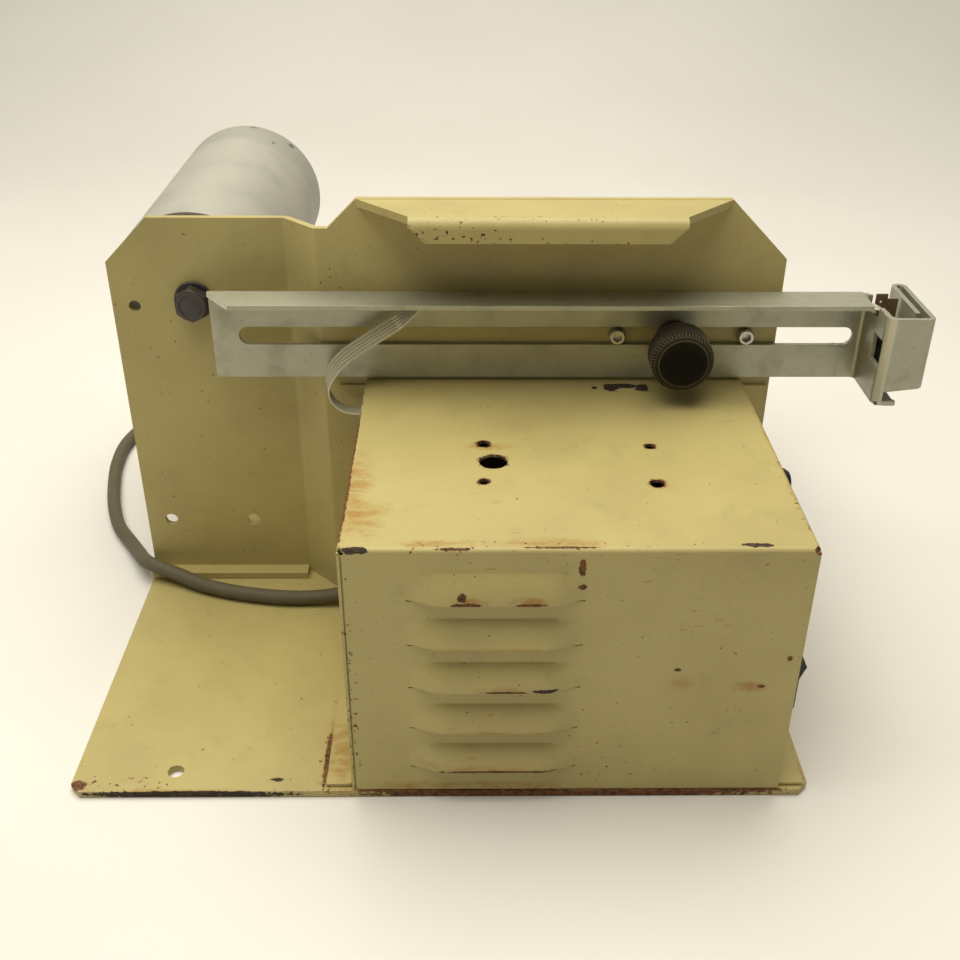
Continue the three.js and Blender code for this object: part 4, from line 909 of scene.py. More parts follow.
@piece("motor_can", bevel=0.2)
def motor_can(at):
    radius, bell = 27.0, at.near + 14
    profile = [(0, at.near), (2.6, at.near), (3, at.near + 0.4), (3, bell - 9), (9.4, bell - 8.5)]
    profile += [(10, bell - 8), (10, bell - 5.5), (radius - 5, bell - 4.4), (radius - 2.2, bell - 3)]
    profile += [(radius - 0.7, bell - 1.2), (radius, bell + 0.6), (radius, bell + 9.6)]
    profile += [(radius - 0.5, bell + 10), (radius - 0.5, bell + 10.6), (radius, bell + 11)]
    profile += [(radius, at.far - 1), (radius - 1, at.far), (0, at.far)]
    slots = [rod("Y", a, b, 2.6, bell - 8, bell - 2.9, 24) for a, b in circle(at.x, at.z, 19, 8)]
    return cut(turned(at, profile, 96), *slots)


@piece("shaft_bushing", bevel=0.12)
def shaft_bushing(at):
    bore, barrel, collar, shoulder = DRIVE_SHAFT + GAP, 7.7, 11.0, PANEL_BACK + SEAT
    profile = [(bore + 0.4, at.near), (barrel - 0.3, at.near), (barrel, at.near + 0.3), (barrel, shoulder)]
    profile += [(collar, shoulder), (collar, at.far - 0.5), (collar - 0.5, at.far), (bore + 0.4, at.far)]
    profile += [(bore, at.far - 0.4), (bore, at.near + 0.4)]
    return turned(at, profile, 72)


@piece("drive_roller_sleeve", bevel=0)
def drive_sleeve(at):
    radius, grooves = DRIVE_RADIUS, []
    for along in lines_between(at.near + 4, at.far - 4, 5.5):
        grooves += [(radius, along - 0.5), (radius - 0.45, along), (radius, along + 0.5)]
    inner = radius - RUBBER
    profile = [(radius - 0.5, at.near), (radius, at.near + 0.5), *grooves, (radius, at.far - 0.5)]
    profile += [(radius - 0.5, at.far), (inner, at.far), (inner, at.near)]
    return turned(at, profile, 96)


@piece("pressure_lever", bevel=0.25)
def pressure_lever(at):
    pivot = Vector(middle_of("pressure_pivot_rod"))
    axle = Vector(middle_of("pressure_roller_axle"))
    along = (axle - pivot).normalized()
    side = Vector((-along.y, along.x))
    corners = [(-8, -7), ((axle - pivot).length + 7, -7), ((axle - pivot).length + 7, 7), (-8, 7)]
    outline = [pivot + along * a + side * b for a, b in round_corners(corners, 6.5, 12, closed=True)]
    near_plate, far_plate, sheet = 17.0, 163.0, 2.0
    tie = pivot.lerp(axle, 0.36)
    spring = extent("pressure_spring")
    pin_x, pin_z = spring.x, 61.0
    lever = join(
        prism("Y", outline, near_plate, near_plate + sheet),
        prism("Y", outline, far_plate, far_plate + sheet),
        lathe("Y", *tie, chamfered(3, near_plate + 0.5, far_plate + 1.5, 0.3), 48),
        lathe("Y", pin_x, pin_z, chamfered(1.5, at.near, near_plate + 0.5, 0.3), 32),
    )
    holes = [rod("Y", *hole, 3.3, near_plate - 1, far_plate + 4) for hole in (pivot, axle)]
    return cut(lever, *holes)


@pieces(bevel=0)
def grooved_rod(at, radius, groove=1.6):
    """A plain rod with a snap-ring groove near its far end."""
    profile = chamfered(radius, at.near, at.far, 0.4)
    slot = [(radius, at.far - groove - 0.5), (radius - 0.5, at.far - groove - 0.5)]
    slot += [(radius - 0.5, at.far - groove), (radius, at.far - groove)]
    return turned(at, profile[:3] + slot + profile[3:], 48)


@pieces(bevel=0)
def riveted_rod(at, radius, shoulder=None):
    """A rod riveted into the upright: a domed rivet, the spigot, a shoulder and the rod."""
    face, root = ARM_PANEL - SEAT, PANEL_BACK + SEAT
    profile = [(0, at.near), (2.2, at.near + 0.15), (3.3, at.near + 0.7), (3.8, face), (2, face), (2, root)]
    if shoulder:
        profile += [(shoulder - 0.3, root), (shoulder, root + 0.3), (shoulder, 16.4), (shoulder - 0.3, 16.7)]
        profile.append((radius, 16.7))
    else:
        profile += [(radius - 0.3, root), (radius, root + 0.3)]
    profile += [(radius, at.far - 2.6), (radius - 0.4, at.far - 2.4), (radius - 0.4, at.far - 1.8)]
    profile += [(radius, at.far - 1.6), (radius, at.far - 0.5), (radius - 0.5, at.far), (0, at.far)]
    return turned(at, profile)


def pressure_spring(material):
    at = extent("pressure_spring")
    x, y = at.x, 12.0
    top, bottom, radius, wire, turns, per_turn = 86.0, 64.0, 3.0, 0.6, 7, 24
    points = [Vector((x, y, top - 1.9)), Vector((x, y, top - 3.4))]
    count = turns * per_turn
    for i in range(count + 1):
        turn = 2 * math.pi * i / per_turn
        z = top - 5.5 + (bottom + 3.5 - top + 5.5) * i / count
        points.append(Vector((x + radius * math.cos(turn), y + radius * math.sin(turn), z)))
    points += [Vector((x, y, bottom + 1.6)), Vector((x, y, bottom - 1))]
    ends = smooth_path(points[:4], 6)[:-1] + points[4:-4] + smooth_path(points[-4:], 6)
    piece = tube(ends, wire, 12)
    finish(piece, "pressure_spring", material, bevel=0, rides=False)
    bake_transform(piece)


@piece("spring_post", bevel=0)
def spring_post(at):
    flange, end = PANEL_BACK + SEAT, PANEL_BACK + 1.6
    profile = [(0, at.near), (1.5, at.near), (1.5, flange), (2.7, flange), (3, flange + 0.3), (3, end)]
    profile += [(1.5, end), (1.5, 10.8), (1.15, 11.2), (1.15, 12.8), (1.5, 13.2), (1.5, at.far - 0.3)]
    return turned(at, profile + [(1.2, at.far), (0, at.far)], 40)


# ---- Web path ----


@piece("peel_deck", bevel=0.2)
def peel_deck(at):
    left, right, sheet = at.left + 8, at.right - 1.8, 1.9
    near, far, top = at.near, at.far, at.top
    across = [(near, at.bottom), (near, top), (far, top), (far, top - 9)]
    channel = prism("X", sheet_outline(round_corners(across, 2.5, 8), sheet), left, right)
    entry = [(left + 1, top), (left - 8, top), (left - 8, top - 10)]
    curve = round_corners(entry, 6, 14)[::-1]
    lip = prism("Y", sheet_outline(curve, sheet), near + 4, far - 4)
    edge = [(right - 0.5, top - sheet), (at.right, top - 0.5), (at.right, top), (right - 0.5, top)]
    tools = []
    for node in DECK_SCREWS:
        tools.append(rod("Y", *middle_of(node), 2.4, near - 1, near + sheet + 1, 40))
    return cut(join(channel, lip, prism("Y", edge, near + 4, far - 4)), *tools)


@pieces(bevel=0.1)
def slotted_screw(at):
    under, head, shank = at.far - 2.4, 3.7, 1.95
    profile = [(0, at.near), (shank - 0.5, at.near)] + thread(shank, at.near + 0.5, under - 0.2, 0.7, 0.22)
    profile += [(shank, under), (head - 0.2, under), (head, under + 0.3), (head, at.far - 1)]
    profile += [(head - 0.5, at.far - 0.3), (head - 1.3, at.far), (0, at.far)]
    slot = block(at.x - 0.5, at.x + 0.5, at.far - 1.2, at.far + 1, at.z - 5, at.z + 5)
    return cut(turned(at, profile, 48), slot)


# ---- Switch, fuse and cord ----


@piece("switch_body", bevel=0.3)
def switch_body(at):
    wall, y, z = WALL_RIGHT, at.y, at.z
    bezel = prism("X", rectangle(at.near, at.far, at.bottom, at.top, 1.0), wall + SEAT, at.right)
    body = block(wall - 20, wall + 0.5, y - 6.3, y + 6.3, z - 9.5, z + 9.5)
    blades = []
    for side in (-5.5, 5.5):
        blade = block(at.left, wall - 19, y - 2.4, y + 2.4, z + side - 0.4, z + side + 0.4)
        blades.append(cut(blade, rod("Z", wall - 25, y, 0.8, z - 8, z + 8, 24)))
    pocket = block(wall - 9, wall + 3, y - 5, y + 5, z - 8.7, z + 8.7)
    return cut(join(bezel, body, *blades), pocket)


@piece("switch_rocker", bevel=0.5, segments=3)
def switch_rocker(at):
    """The rocker, drawn level about its pivot and tipped to rest with its upper end out."""
    pivot_x, pivot_z, tilt = WALL_RIGHT - 2.5, 50.0, math.radians(7)
    upper = [(-5, 5), (1, 8.1), (6.3, 8.1), (5.6, 5.4), (4.95, 2.6), (4.7, 0)]
    level = upper + [(a, -b) for a, b in upper[-2::-1]]
    c, s = math.cos(tilt), math.sin(tilt)
    tipped = [(pivot_x + a * c + b * s, pivot_z - a * s + b * c) for a, b in level]
    return prism("Y", tipped, at.y - 4.6, at.y + 4.6)


@piece("fuse_holder_body", bevel=0.15)
def fuse_body(at):
    y, z, wall, radius = at.y, at.z, WALL_RIGHT, 6.0
    profile = [(0, wall - 30), (radius - 0.6, wall - 30), (radius, wall - 29.4)]
    profile += thread(radius, wall - 16, wall - 2, 1.0, 0.3)
    profile += [(radius, wall + SEAT), (radius + 1.5, wall + SEAT), (radius + 1.5, at.right - 0.5)]
    profile += [(radius + 1.0, at.right), (0, at.right)]
    tail = block(at.left, wall - 29, y - 2, y + 2, z - 0.4, z + 0.4)
    tail = cut(tail, rod("Z", at.left + 2.6, y, 0.8, z - 2, z + 2, 24))
    return join(lathe("X", y, z, profile, 56), tail)


@piece("fuse_holder_cap", bevel=0.12)
def fuse_cap(at):
    y, z, radius = at.y, at.z, 6.0
    start, end = at.left, at.right
    profile = [(0, start), (radius - 0.2, start), (radius, start + 0.2), (radius, end - 2.2)]
    profile += [(radius - 1.2, end - 0.5), (radius - 1.7, end - 0.2), (0, end)]
    cap = lathe("X", y, z, profile, 60)
    grips = [rod("X", a, b, 0.35, start + 1, end - 1.6, 10) for a, b in circle(y, z, radius, 20)]
    slot = block(end - 1.1, end + 1, y - 3.2, y + 3.2, z - 0.55, z + 0.55)
    return cut(cap, slot, *grips)


# The cord's middle line, from inside the cover, round the back and into the plug.
CORD = [
    (-16, -12, 13), (-26, -10.6, 12), (-36, -10, 11.2), (-46, -10, 9.3), (-60, -10, 7.1),
    (-76, -9.6, 6.9), (-96, -6, 6.9), (-113, -0.4, 7.2), (-127, 6, 9), (-138.6, 10.8, 10.6),
    (-145, 17.2, 9.6), (-150, 26, 7.6), (-158, 40, 4.6), (-168, 56, 3.5), (-176, 76, 3.5),
    (-182, 98, 3.5), (-186.5, 122, 3.5), (-187, 146, 3.5), (-180, 168, 3.5), (-162, 184, 3.5),
    (-138, 190, 3.5), (-114, 188, 4.5), (-100, 186, 8), (-92, 185, 10),
]
CORD_RADIUS = 3.3


@piece("power_cord", bevel=0)
def power_cord(_):
    return tube(smooth_path(CORD, 10), CORD_RADIUS, 28)


@piece("cord_strain_relief", bevel=0.15)
def strain_relief(at):
    y, z, wall = at.y, at.z, WALL_LEFT
    profile = [(0, at.left), (4.2, at.left), (4.6, at.left + 0.5), (5, wall - 3), (6.1, wall - 3)]
    profile += [(6.3, wall - 2.7), (6.3, wall - SEAT), (5, wall - SEAT), (5, at.right - 0.5), (4.6, at.right)]
    bore = tube(smooth_path(CORD[:4], 8), CORD_RADIUS + 0.35, 28)
    body = lathe("X", y, z, profile + [(0, at.right)], 56)
    left = at.left
    notches = [block(left + a, left + b, y - 6, y + 6, z + 4.1, z + 7) for a, b in ((1, 1.5), (2.3, 2.8))]
    return cut(body, bore, *notches)


PLUG = Vector((-91.4, 185.0, 13.0))  # where the cord enters the plug


@piece("plug_body", bevel=0.7, segments=3)
def plug_body(_):
    x, y, z = PLUG
    grip = prism("X", rectangle(y - 9, y + 9, z - 12.1, z + 12.1, 6, 10), x + 6, x + 23)
    face = prism("X", rectangle(y - 13, y + 13, z - 12.2, z + 12.2, 8, 10), x + 22, x + 34)
    neck = lathe("X", y, z - 3, [(0, x + 0.4), (4.8, x + 0.4), (5.5, x + 3), (5.5, x + 7), (0, x + 7)], 48)
    tools = []
    for i in range(4):
        for side in (-1, 1):
            start = x + 8.4 + i * 3.4
            tools.append(block(start, start + 1.1, y + side * 9.6 - 1, y + side * 9.6 + 1, z - 8, z + 8))
    return cut(join(grip, face, neck), *tools)


@piece("plug_insert", bevel=0.2)
def plug_insert(_):
    x, y, z = PLUG
    plate = prism("X", rectangle(y - 11, y + 11, z - 11.5, z + 9, 6, 8), x + 34.2, x + 35.4)
    blades = []
    for side in (-6.35, 6.35):
        outline = [(x + 35, z - 1), (x + 48.4, z - 1), (x + 50, z), (x + 50, z + 4.3), (x + 48.4, z + 5.3)]
        blade = prism("Y", outline + [(x + 35, z + 5.3)], y + side - 0.75, y + side + 0.75)
        blades.append(cut(blade, rod("Y", x + 46, z + 2.15, 1.3, y - 9, y + 9, 32)))
    profile = [(0, 35), (2.4, 35), (2.4, 50.6), (1.9, 52.4), (0.8, 53), (0, 53)]
    pin = lathe("X", y, z - 7.5, [(radius, x + along) for radius, along in profile], 40)
    return join(plate, *blades, pin)


# ---- Control parts inside the housing ----


@piece("board_tray", bevel=0.2)
def board_tray(at):
    tray = block(*at)
    near, far, board = at.near - 6, at.far + 6, extent("control_board")
    hollow = block(at.left + 3.6, at.right - 3.6, near, far, at.bottom + 1.2, at.top + 1)
    grooves = block(board.left - GAP, board.right + GAP, near, far, board.bottom - 0.2, board.top + 0.2)
    vents = []
    for x in lines_between(at.left + 16, at.right - 16, 13):
        slot = rectangle(x - 2, x + 2, at.near + 8, at.far - 8, 1.9)
        vents.append(prism("Z", slot, at.bottom - 1, at.bottom + 2))
    return cut(tray, hollow, grooves, *vents)


@piece("control_board", bevel=0.12)
def control_board(at):
    """The bare board with rows of solder joints and small parts on its free half."""
    draw = random.Random(11)
    board = block(at.left, at.right, at.near, at.far, at.bottom, at.top - 0.02)
    parts = []
    for row in range(4):
        for column in range(5):
            x, y = at.left + 10 + column * 5.2, at.far - 8 - row * 3.6
            length = draw.uniform(2.6, 3.6)
            parts.append(block(x, x + length, y, y + 1.5, at.top - 0.3, at.top + 1.2))
    capacitors = [(66, -102, 3.2, 9), (74, -104, 2.5, 7), (86, -100, 4, 12), (98, -102, 2.5, 7)]
    for x, y, radius, height in capacitors:
        parts.append(lathe("Z", x, y, chamfered(radius, at.top - 0.3, at.top + height, 0.4), 32))
    return join(board, *parts)


@piece("control_relay", bevel=0.7, segments=3)
def control_relay(at):
    around = block(at.left - 1, at.right + 1, at.near - 1, at.far + 1, at.bottom + 2, at.bottom + 2.5)
    within = block(at.left + 0.4, at.right - 0.4, at.near + 0.4, at.far - 0.4, at.bottom, at.top)
    return cut(block(*at), cut(around, within))


@piece("terminal_block", bevel=0.25)
def terminal_block(at):
    tools = []
    for i in range(4):
        x, y = at.left + 4.1 + i * 6.6, at.y
        well = lathe("Z", x, y, [(0, at.top + 1), (2, at.top + 1), (2, at.top - 5), (0, at.top - 5)], 32)
        tools.append(well)
        tools.append(block(x - 1.8, x + 1.8, at.near - 1, at.near + 4, at.bottom + 1.6, at.bottom + 5))
        if i:
            tools.append(block(x - 3.6, x - 3.0, at.near - 1, at.near + 2.4, at.bottom + 1, at.top + 1))
    return cut(block(*at), *tools)


@piece("transformer_core", bevel=0.1)
def transformer_core(at):
    """A stack of laminations with two windows and four bolt holes through it."""
    x = at.x
    step = 1.3
    outline = []
    for y in lines_between(at.near, at.far, step):
        outline.append((at.left + (0.18 if len(outline) % 2 else 0), y))
    mirrored = [(2 * x - a, y) for a, y in outline[::-1]]
    stack = prism("Z", outline + mirrored, at.bottom, at.top)
    tools = []
    for side in (-1, 1):
        window = x + side * ((at.right - at.left) / 4 - 1)
        tools.append(block(window - 5, window + 5, at.near - 2, at.far + 2, at.bottom + 8, at.top - 8))
        for z in (at.bottom + 4, at.top - 4):
            tools.append(rod("Y", x + side * 20, z, 1.8, at.near - 2, at.far + 2, 24))
    return cut(stack, *tools)


@piece("transformer_coil", bevel=0)
def transformer_coil(at):
    """The winding, with the steps of its wire layers, around the core's middle limb."""
    x, y = at.x, at.y
    half_x, half_y = (at.right - at.left) / 2, (at.far - at.near) / 2
    rings = []
    for i, z in enumerate(lines_between(at.bottom, at.top, 0.7)):
        inset = 0.0 if i % 2 else 0.28
        a, b = half_x - inset, half_y - inset
        outline = rectangle(x - a, x + a, y - b, y + b, 4, 6)
        rings.append([(a, b, z) for a, b in outline])
    limb = block(x - 6.3, x + 6.3, y - 13.3, y + 13.3, at.bottom - 1, at.top + 1)
    return cut(solid(rings), limb)


# ---- Materials ----


class Finish:
    """One node material, built a few nodes at a time. Patterns are placed in the frame's axes."""

    def __init__(self, name):
        self.material = bpy.data.materials.new(name)
        self.material.use_nodes = True
        self.tree = self.material.node_tree
        self.tree.nodes.clear()
        self.surface = self.tree.nodes.new("ShaderNodeBsdfPrincipled")
        output = self.tree.nodes.new("ShaderNodeOutputMaterial")
        self.tree.links.new(self.surface.outputs["BSDF"], output.inputs["Surface"])
        self.place = self.tree.nodes.new("ShaderNodeTexCoord").outputs["Object"]

    def node(self, kind, inputs=None, **settings):
        made = set_up(self.tree.nodes.new(f"ShaderNode{kind}"), **settings)
        for key, value in (inputs or {}).items():
            self.feed(made.inputs[key], value)
        return made

    def feed(self, socket, value):
        if isinstance(value, bpy.types.NodeSocket):
            self.tree.links.new(value, socket)
        elif socket.type == "RGBA":
            socket.default_value = (*value, 1.0)
        else:
            socket.default_value = value

    def math(self, operation, *values, clamp=False):
        return self.node("Math", dict(enumerate(values)), operation=operation, use_clamp=clamp).outputs[0]

    def vector(self, operation, *values):
        return self.node("VectorMath", dict(enumerate(values)), operation=operation)

    def stretched(self, stretch):
        return self.node("Mapping", {"Vector": self.place, "Scale": [1 / s for s in stretch]}).outputs[0]

    def noise(self, size, detail=3.0, rough=0.55, stretch=(1, 1, 1), distortion=0.0):
        """Noise from 0 to 1 whose features are about size millimetres across."""
        inputs = {"Vector": self.stretched(stretch), "Scale": 1 / (size * MM), "Detail": detail}
        return self.node("TexNoise", {**inputs, "Roughness": rough, "Distortion": distortion}).outputs[0]

    def steps(self, value, low, high, to_low=0.0, to_high=1.0):
        inputs = {0: value, 1: low, 2: high, 3: to_low, 4: to_high}
        return self.node("MapRange", inputs, interpolation_type="SMOOTHSTEP").outputs[0]

    def mix(self, factor, first, second):
        """A mix of two colours."""
        return self.node("Mix", {0: factor, 6: first, 7: second}, data_type="RGBA").outputs[2]

    def blend(self, factor, first, second):
        """A mix of two numbers."""
        return self.node("Mix", {0: factor, 2: first, 3: second}, data_type="FLOAT").outputs[0]

    def strongest(self, values):
        total = values[0]
        for value in values[1:]:
            total = self.math("MAXIMUM", total, value)
        return total

    def axis(self, name):
        return self.node("SeparateXYZ", {0: self.place}).outputs[name]

    def facing(self, direction):
        """The share of the surface's direction that points the given way."""
        normal = self.node("TexCoord").outputs["Normal"]
        return self.vector("DOT_PRODUCT", normal, direction).outputs["Value"]

    def edges(self, radius, strength=6.0):
        """1 on edges, from the bend that a bevel of this radius would give the surface."""
        bevel = self.node("Bevel", {"Radius": radius * MM}, samples=4).outputs[0]
        flat = self.node("NewGeometry").outputs["Normal"]
        same = self.vector("DOT_PRODUCT", bevel, flat).outputs["Value"]
        return self.math("MULTIPLY", self.math("SUBTRACT", 1.0, same), strength, clamp=True)

    def spot(self, mark, ragged):
        """1 in the middle of an ellipsoid (centre and radii), falling to 0 at its ragged rim."""
        offset = self.vector("SUBTRACT", self.place, [c * MM for c in mark[:3]]).outputs[0]
        scaled = self.vector("DIVIDE", offset, [r * MM for r in mark[3:]]).outputs[0]
        length = self.vector("LENGTH", scaled).outputs["Value"]
        wobble = self.math("MULTIPLY", self.math("SUBTRACT", ragged, 0.5), 1.6)
        return self.math("SUBTRACT", 1.0, self.math("ADD", length, wobble), clamp=True)

    def spots(self, places, ragged):
        return self.strongest([self.spot(mark, ragged) for mark in places])

    def bump(self, height, depth, strength=1.0, under=None):
        inputs = {"Height": height, "Distance": depth * MM, "Strength": strength}
        if under is not None:
            inputs["Normal"] = under
        return self.node("Bump", inputs).outputs[0]

    def set(self, **values):
        names = {
            "colour": "Base Color",
            "rough": "Roughness",
            "metal": "Metallic",
            "normal": "Normal",
            "specular": "Specular IOR Level",
        }
        for key, value in values.items():
            self.feed(self.surface.inputs[names[key]], value)
        return self.material


CREAM = (0.473, 0.396, 0.15)
CREAM_WORN = (0.425, 0.35, 0.135)
GRIME = (0.22, 0.175, 0.075)
RUST_DARK = (0.06, 0.028, 0.014)
RUST = (0.2, 0.08, 0.022)
RUST_STAIN = (0.36, 0.2, 0.04)
BARE_DARK = (0.032, 0.021, 0.012)
BARE_WARM = (0.1, 0.06, 0.04)


def painted(name, stains=(), rust=(), chips=(), specked=(), worn=0.6, dashes=0.0):
    """Satin cream enamel: clouded, scuffed and speckled, with stains, rust and chips in places.

    stains, rust, chips and specked are lists of marks, each a centre and three radii. A higher worn leaves
    fewer chips along the edges, and dashes sets how many short rusty scratches there are.
    """
    f = Finish(name)
    fine = f.noise(1.9, 4, 0.7)
    ragged = f.noise(2.6, 6, 0.75, distortion=0.5)
    soft = f.noise(11, 4, 0.6)
    streaks = f.noise(4.2, 6, 0.7, stretch=(2.6, 1, 1.4), distortion=0.6)
    base = f.mix(f.steps(f.noise(46, 4, 0.6), 0.35, 0.7), CREAM, CREAM_WORN)
    dirt = f.math("MULTIPLY", f.steps(f.noise(16, 6, 0.72), 0.52, 0.8), 0.3)
    base = f.mix(dirt, base, GRIME)

    if stains:
        stain = f.spots(stains, soft)
        tinted = f.math("MULTIPLY", f.steps(stain, 0.0, 0.8), f.steps(streaks, 0.34, 0.66, 0.1, 1.0))
        base = f.mix(tinted, base, RUST_STAIN)
        deep = f.math("MULTIPLY", f.steps(stain, 0.3, 0.9), f.steps(ragged, 0.54, 0.7))
        base = f.mix(f.math("MULTIPLY", deep, 0.7), base, (0.23, 0.1, 0.02))
    if dashes:
        dash = f.steps(f.noise(1.5, 2, 0.5, stretch=(5, 1, 1)), 0.78 - 0.1 * dashes, 0.84 - 0.1 * dashes)
        near = f.steps(f.noise(34, 3, 0.5), 0.48, 0.62)
        base = f.mix(f.math("MULTIPLY", f.math("MULTIPLY", dash, near), 0.7), base, RUST_STAIN)

    density = f.math("MULTIPLY", f.noise(24, 2, 0.5), 0.08)
    if specked:
        areas = f.math("MULTIPLY", f.steps(f.spots(specked, soft), 0.0, 0.5), 0.1)
        density = f.math("ADD", density, areas)
    speck = f.steps(f.math("ADD", f.noise(1.7, 2, 0.55), density), 0.77, 0.79)
    edge = f.steps(f.edges(1.0), 0.2, 0.5)
    rubbed = f.math("MULTIPLY", edge, f.steps(ragged, worn, worn + 0.04))
    marks = [speck, rubbed]
    if rust:
        marks.append(f.steps(f.spots(rust, ragged), 0.14, 0.24))
    bare = f.strongest(marks)
    base = f.mix(bare, base, f.mix(f.steps(fine, 0.36, 0.62), RUST_DARK, RUST))
    if chips:
        chipped = f.steps(f.spots(chips, ragged), 0.12, 0.2)
        base = f.mix(chipped, base, f.mix(f.steps(fine, 0.45, 0.7), BARE_DARK, BARE_WARM))
        bare = f.math("MAXIMUM", bare, chipped)

    peel = f.bump(f.noise(1.3, 2, 0.5), 0.03, 0.3)
    waves = f.bump(f.noise(60, 2, 0.4), 0.5, 0.22, peel)
    pits = f.bump(f.math("SUBTRACT", 1.0, bare), 0.1, 0.7, waves)
    rough = f.blend(bare, f.blend(fine, 0.38, 0.5), 0.85)
    return f.set(colour=base, rough=rough, normal=pits, specular=0.4)


def bare_metal(name, tint, stained, rough=0.42, grain=(1, 1, 1), metal=1.0, marks=0.35, bright=None):
    """Bare metal with a directional grain and blotchy tarnish.

    bright is (direction, rubbed tint): faces that look that way have been cut or rubbed clean.
    """
    f = Finish(name)
    blotch = f.steps(f.noise(19, 6, 0.68), 0.4, 0.75)
    small = f.steps(f.noise(2.6, 5, 0.75), 0.56, 0.74)
    lines = f.noise(0.9, 3, 0.6, stretch=grain)
    base = f.mix(f.math("MULTIPLY", blotch, marks), tint, stained)
    base = f.mix(f.math("MULTIPLY", small, marks), base, stained)
    if bright:
        base = f.mix(f.steps(f.facing(bright[0]), 0.9, 0.97), base, bright[1])
    roughness = f.blend(lines, rough - 0.08, rough + 0.12)
    roughness = f.math("ADD", roughness, f.math("MULTIPLY", blotch, 0.1))
    return f.set(colour=base, rough=roughness, metal=metal, normal=f.bump(lines, 0.02, 0.35))


def moulded(name, tint, dust_and_highlight_tint, rough=0.5, dust=0.3, grain=0.8, peak_dust_and_highlight=False, specular=0.35):
    """Moulded plastic or rubber: fine texture and patchy dust; where asked, high points take the dust colour
    as dust and painted highlight.
    """
    f = Finish(name)
    cloud = f.steps(f.noise(9, 4, 0.6), 0.42, 0.78)
    fine = f.noise(grain, 3, 0.6)
    base = f.mix(f.math("MULTIPLY", cloud, dust), tint, dust_and_highlight_tint)
    if peak_dust_and_highlight:
        # high points such as a knurl's crests are lightened: part dust, part painted highlight
        raised_dust_and_highlight = f.node("NewGeometry").outputs["Pointiness"]
        base = f.mix(f.steps(raised_dust_and_highlight, 0.5, 0.56), base, dust_and_highlight_tint)
    roughness = f.blend(fine, rough - 0.08, rough + 0.1)
    return f.set(colour=base, rough=roughness, normal=f.bump(fine, 0.03, 0.4), specular=specular)


def drum_finish(name, tint, stained, marks):
    """Matte spun aluminium: cloudy, greyer towards the far end, with a few dark marks."""
    f = Finish(name)
    cloud = f.steps(f.noise(28, 5, 0.6), 0.35, 0.75)
    turned_lines = f.noise(1.1, 3, 0.6, stretch=(14, 1, 14))
    far = f.steps(f.axis("Y"), 0.138, 0.15)
    base = f.mix(f.math("MULTIPLY", cloud, 0.5), tint, stained)
    base = f.mix(f.math("MULTIPLY", far, 0.45), base, stained)
    dark = f.steps(f.spots(marks, f.noise(1.5, 4, 0.7)), 0.1, 0.25)
    base = f.mix(dark, base, (0.09, 0.075, 0.05))
    rough = f.blend(turned_lines, 0.42, 0.6)
    return f.set(colour=base, rough=rough, metal=0.3, normal=f.bump(turned_lines, 0.02, 0.25))


# ---- Floor, light and camera ----


def floor_and_backdrop():
    """A pale sweep: a floor that curves up into a backdrop far behind the object."""
    far, height, bend = 1.6, 1.5, 0.9
    bm = bmesh.new()
    profile = [(-1.6, 0.0)]
    profile += [(far - bend + bend * math.sin(t), bend - bend * math.cos(t)) for t in quarter(24)]
    profile.append((far, bend + height))
    rows = [[bm.verts.new((x, y, z)) for y, z in profile] for x in (-2.4, 2.4)]
    for i in range(len(profile) - 1):
        bm.faces.new((rows[0][i], rows[1][i], rows[1][i + 1], rows[0][i + 1]))
    sweep_piece = object_from(bm, "floor")
    for polygon in sweep_piece.data.polygons:
        polygon.use_smooth = True
    f = Finish("floor_paper")
    tint = f.mix(f.steps(f.noise(220, 3, 0.5), 0.3, 0.75), (0.79, 0.765, 0.7), (0.76, 0.735, 0.67))
    sweep_piece.data.materials.append(f.set(colour=tint, rough=0.55, specular=0.25))
    sweep_piece.location.z = -0.2 * MM  # just clear of the base plate's underside


def area_light(name, at, aim, width, height, power, tint):
    """A rectangular lamp, in metres and watts, that looks at the point aim."""
    data = bpy.data.lights.new(name, "AREA")
    set_up(data, shape="RECTANGLE", size=width, size_y=height, energy=power, color=tint)
    light = bpy.data.objects.new(name, data)
    light.location = at
    light.rotation_euler = (Vector(aim) - Vector(at)).to_track_quat("-Z", "Y").to_euler()
    bpy.context.scene.collection.objects.link(light)


def lights():
    world = bpy.data.worlds.new("studio")
    world.use_nodes = True
    background = world.node_tree.nodes["Background"]
    background.inputs["Color"].default_value = (1.0, 0.97, 0.9, 1.0)
    background.inputs["Strength"].default_value = 0.16
    bpy.context.scene.world = world
    warm = (1.0, 0.96, 0.87)
    area_light("overhead", (-0.12, 0.1, 1.2), (0.0, 0.03, 0.0), 1.6, 1.2, 25.0, warm)
    area_light("fill", (-0.8, -1.1, 0.9), (0.0, 0.0, 0.1), 0.9, 0.7, 0.5, warm)


def camera():
    """The camera of the reference view: 43 mm lens, 30.6 degrees down from a little to the right."""
    pitch, yaw, roll = (math.radians(angle) for angle in (30.57, 0.745, 0.347))
    data = set_up(bpy.data.cameras.new("camera"), lens=42.86, sensor_width=36.0, clip_start=0.01)
    viewer = bpy.data.objects.new("camera", data)
    turn = Matrix.Rotation(-yaw, 4, "Z") @ Matrix.Rotation(math.pi / 2 - pitch, 4, "X")
    turn = turn @ Matrix.Rotation(roll, 4, "Z")
    viewer.matrix_world = Matrix.Translation((0.0104, -0.4389, 0.3234)) @ turn
    bpy.context.scene.collection.objects.link(viewer)
    bpy.context.scene.camera = viewer
    bpy.context.scene.view_settings.view_transform = "Standard"


# ---- Finishes of the assembly ----

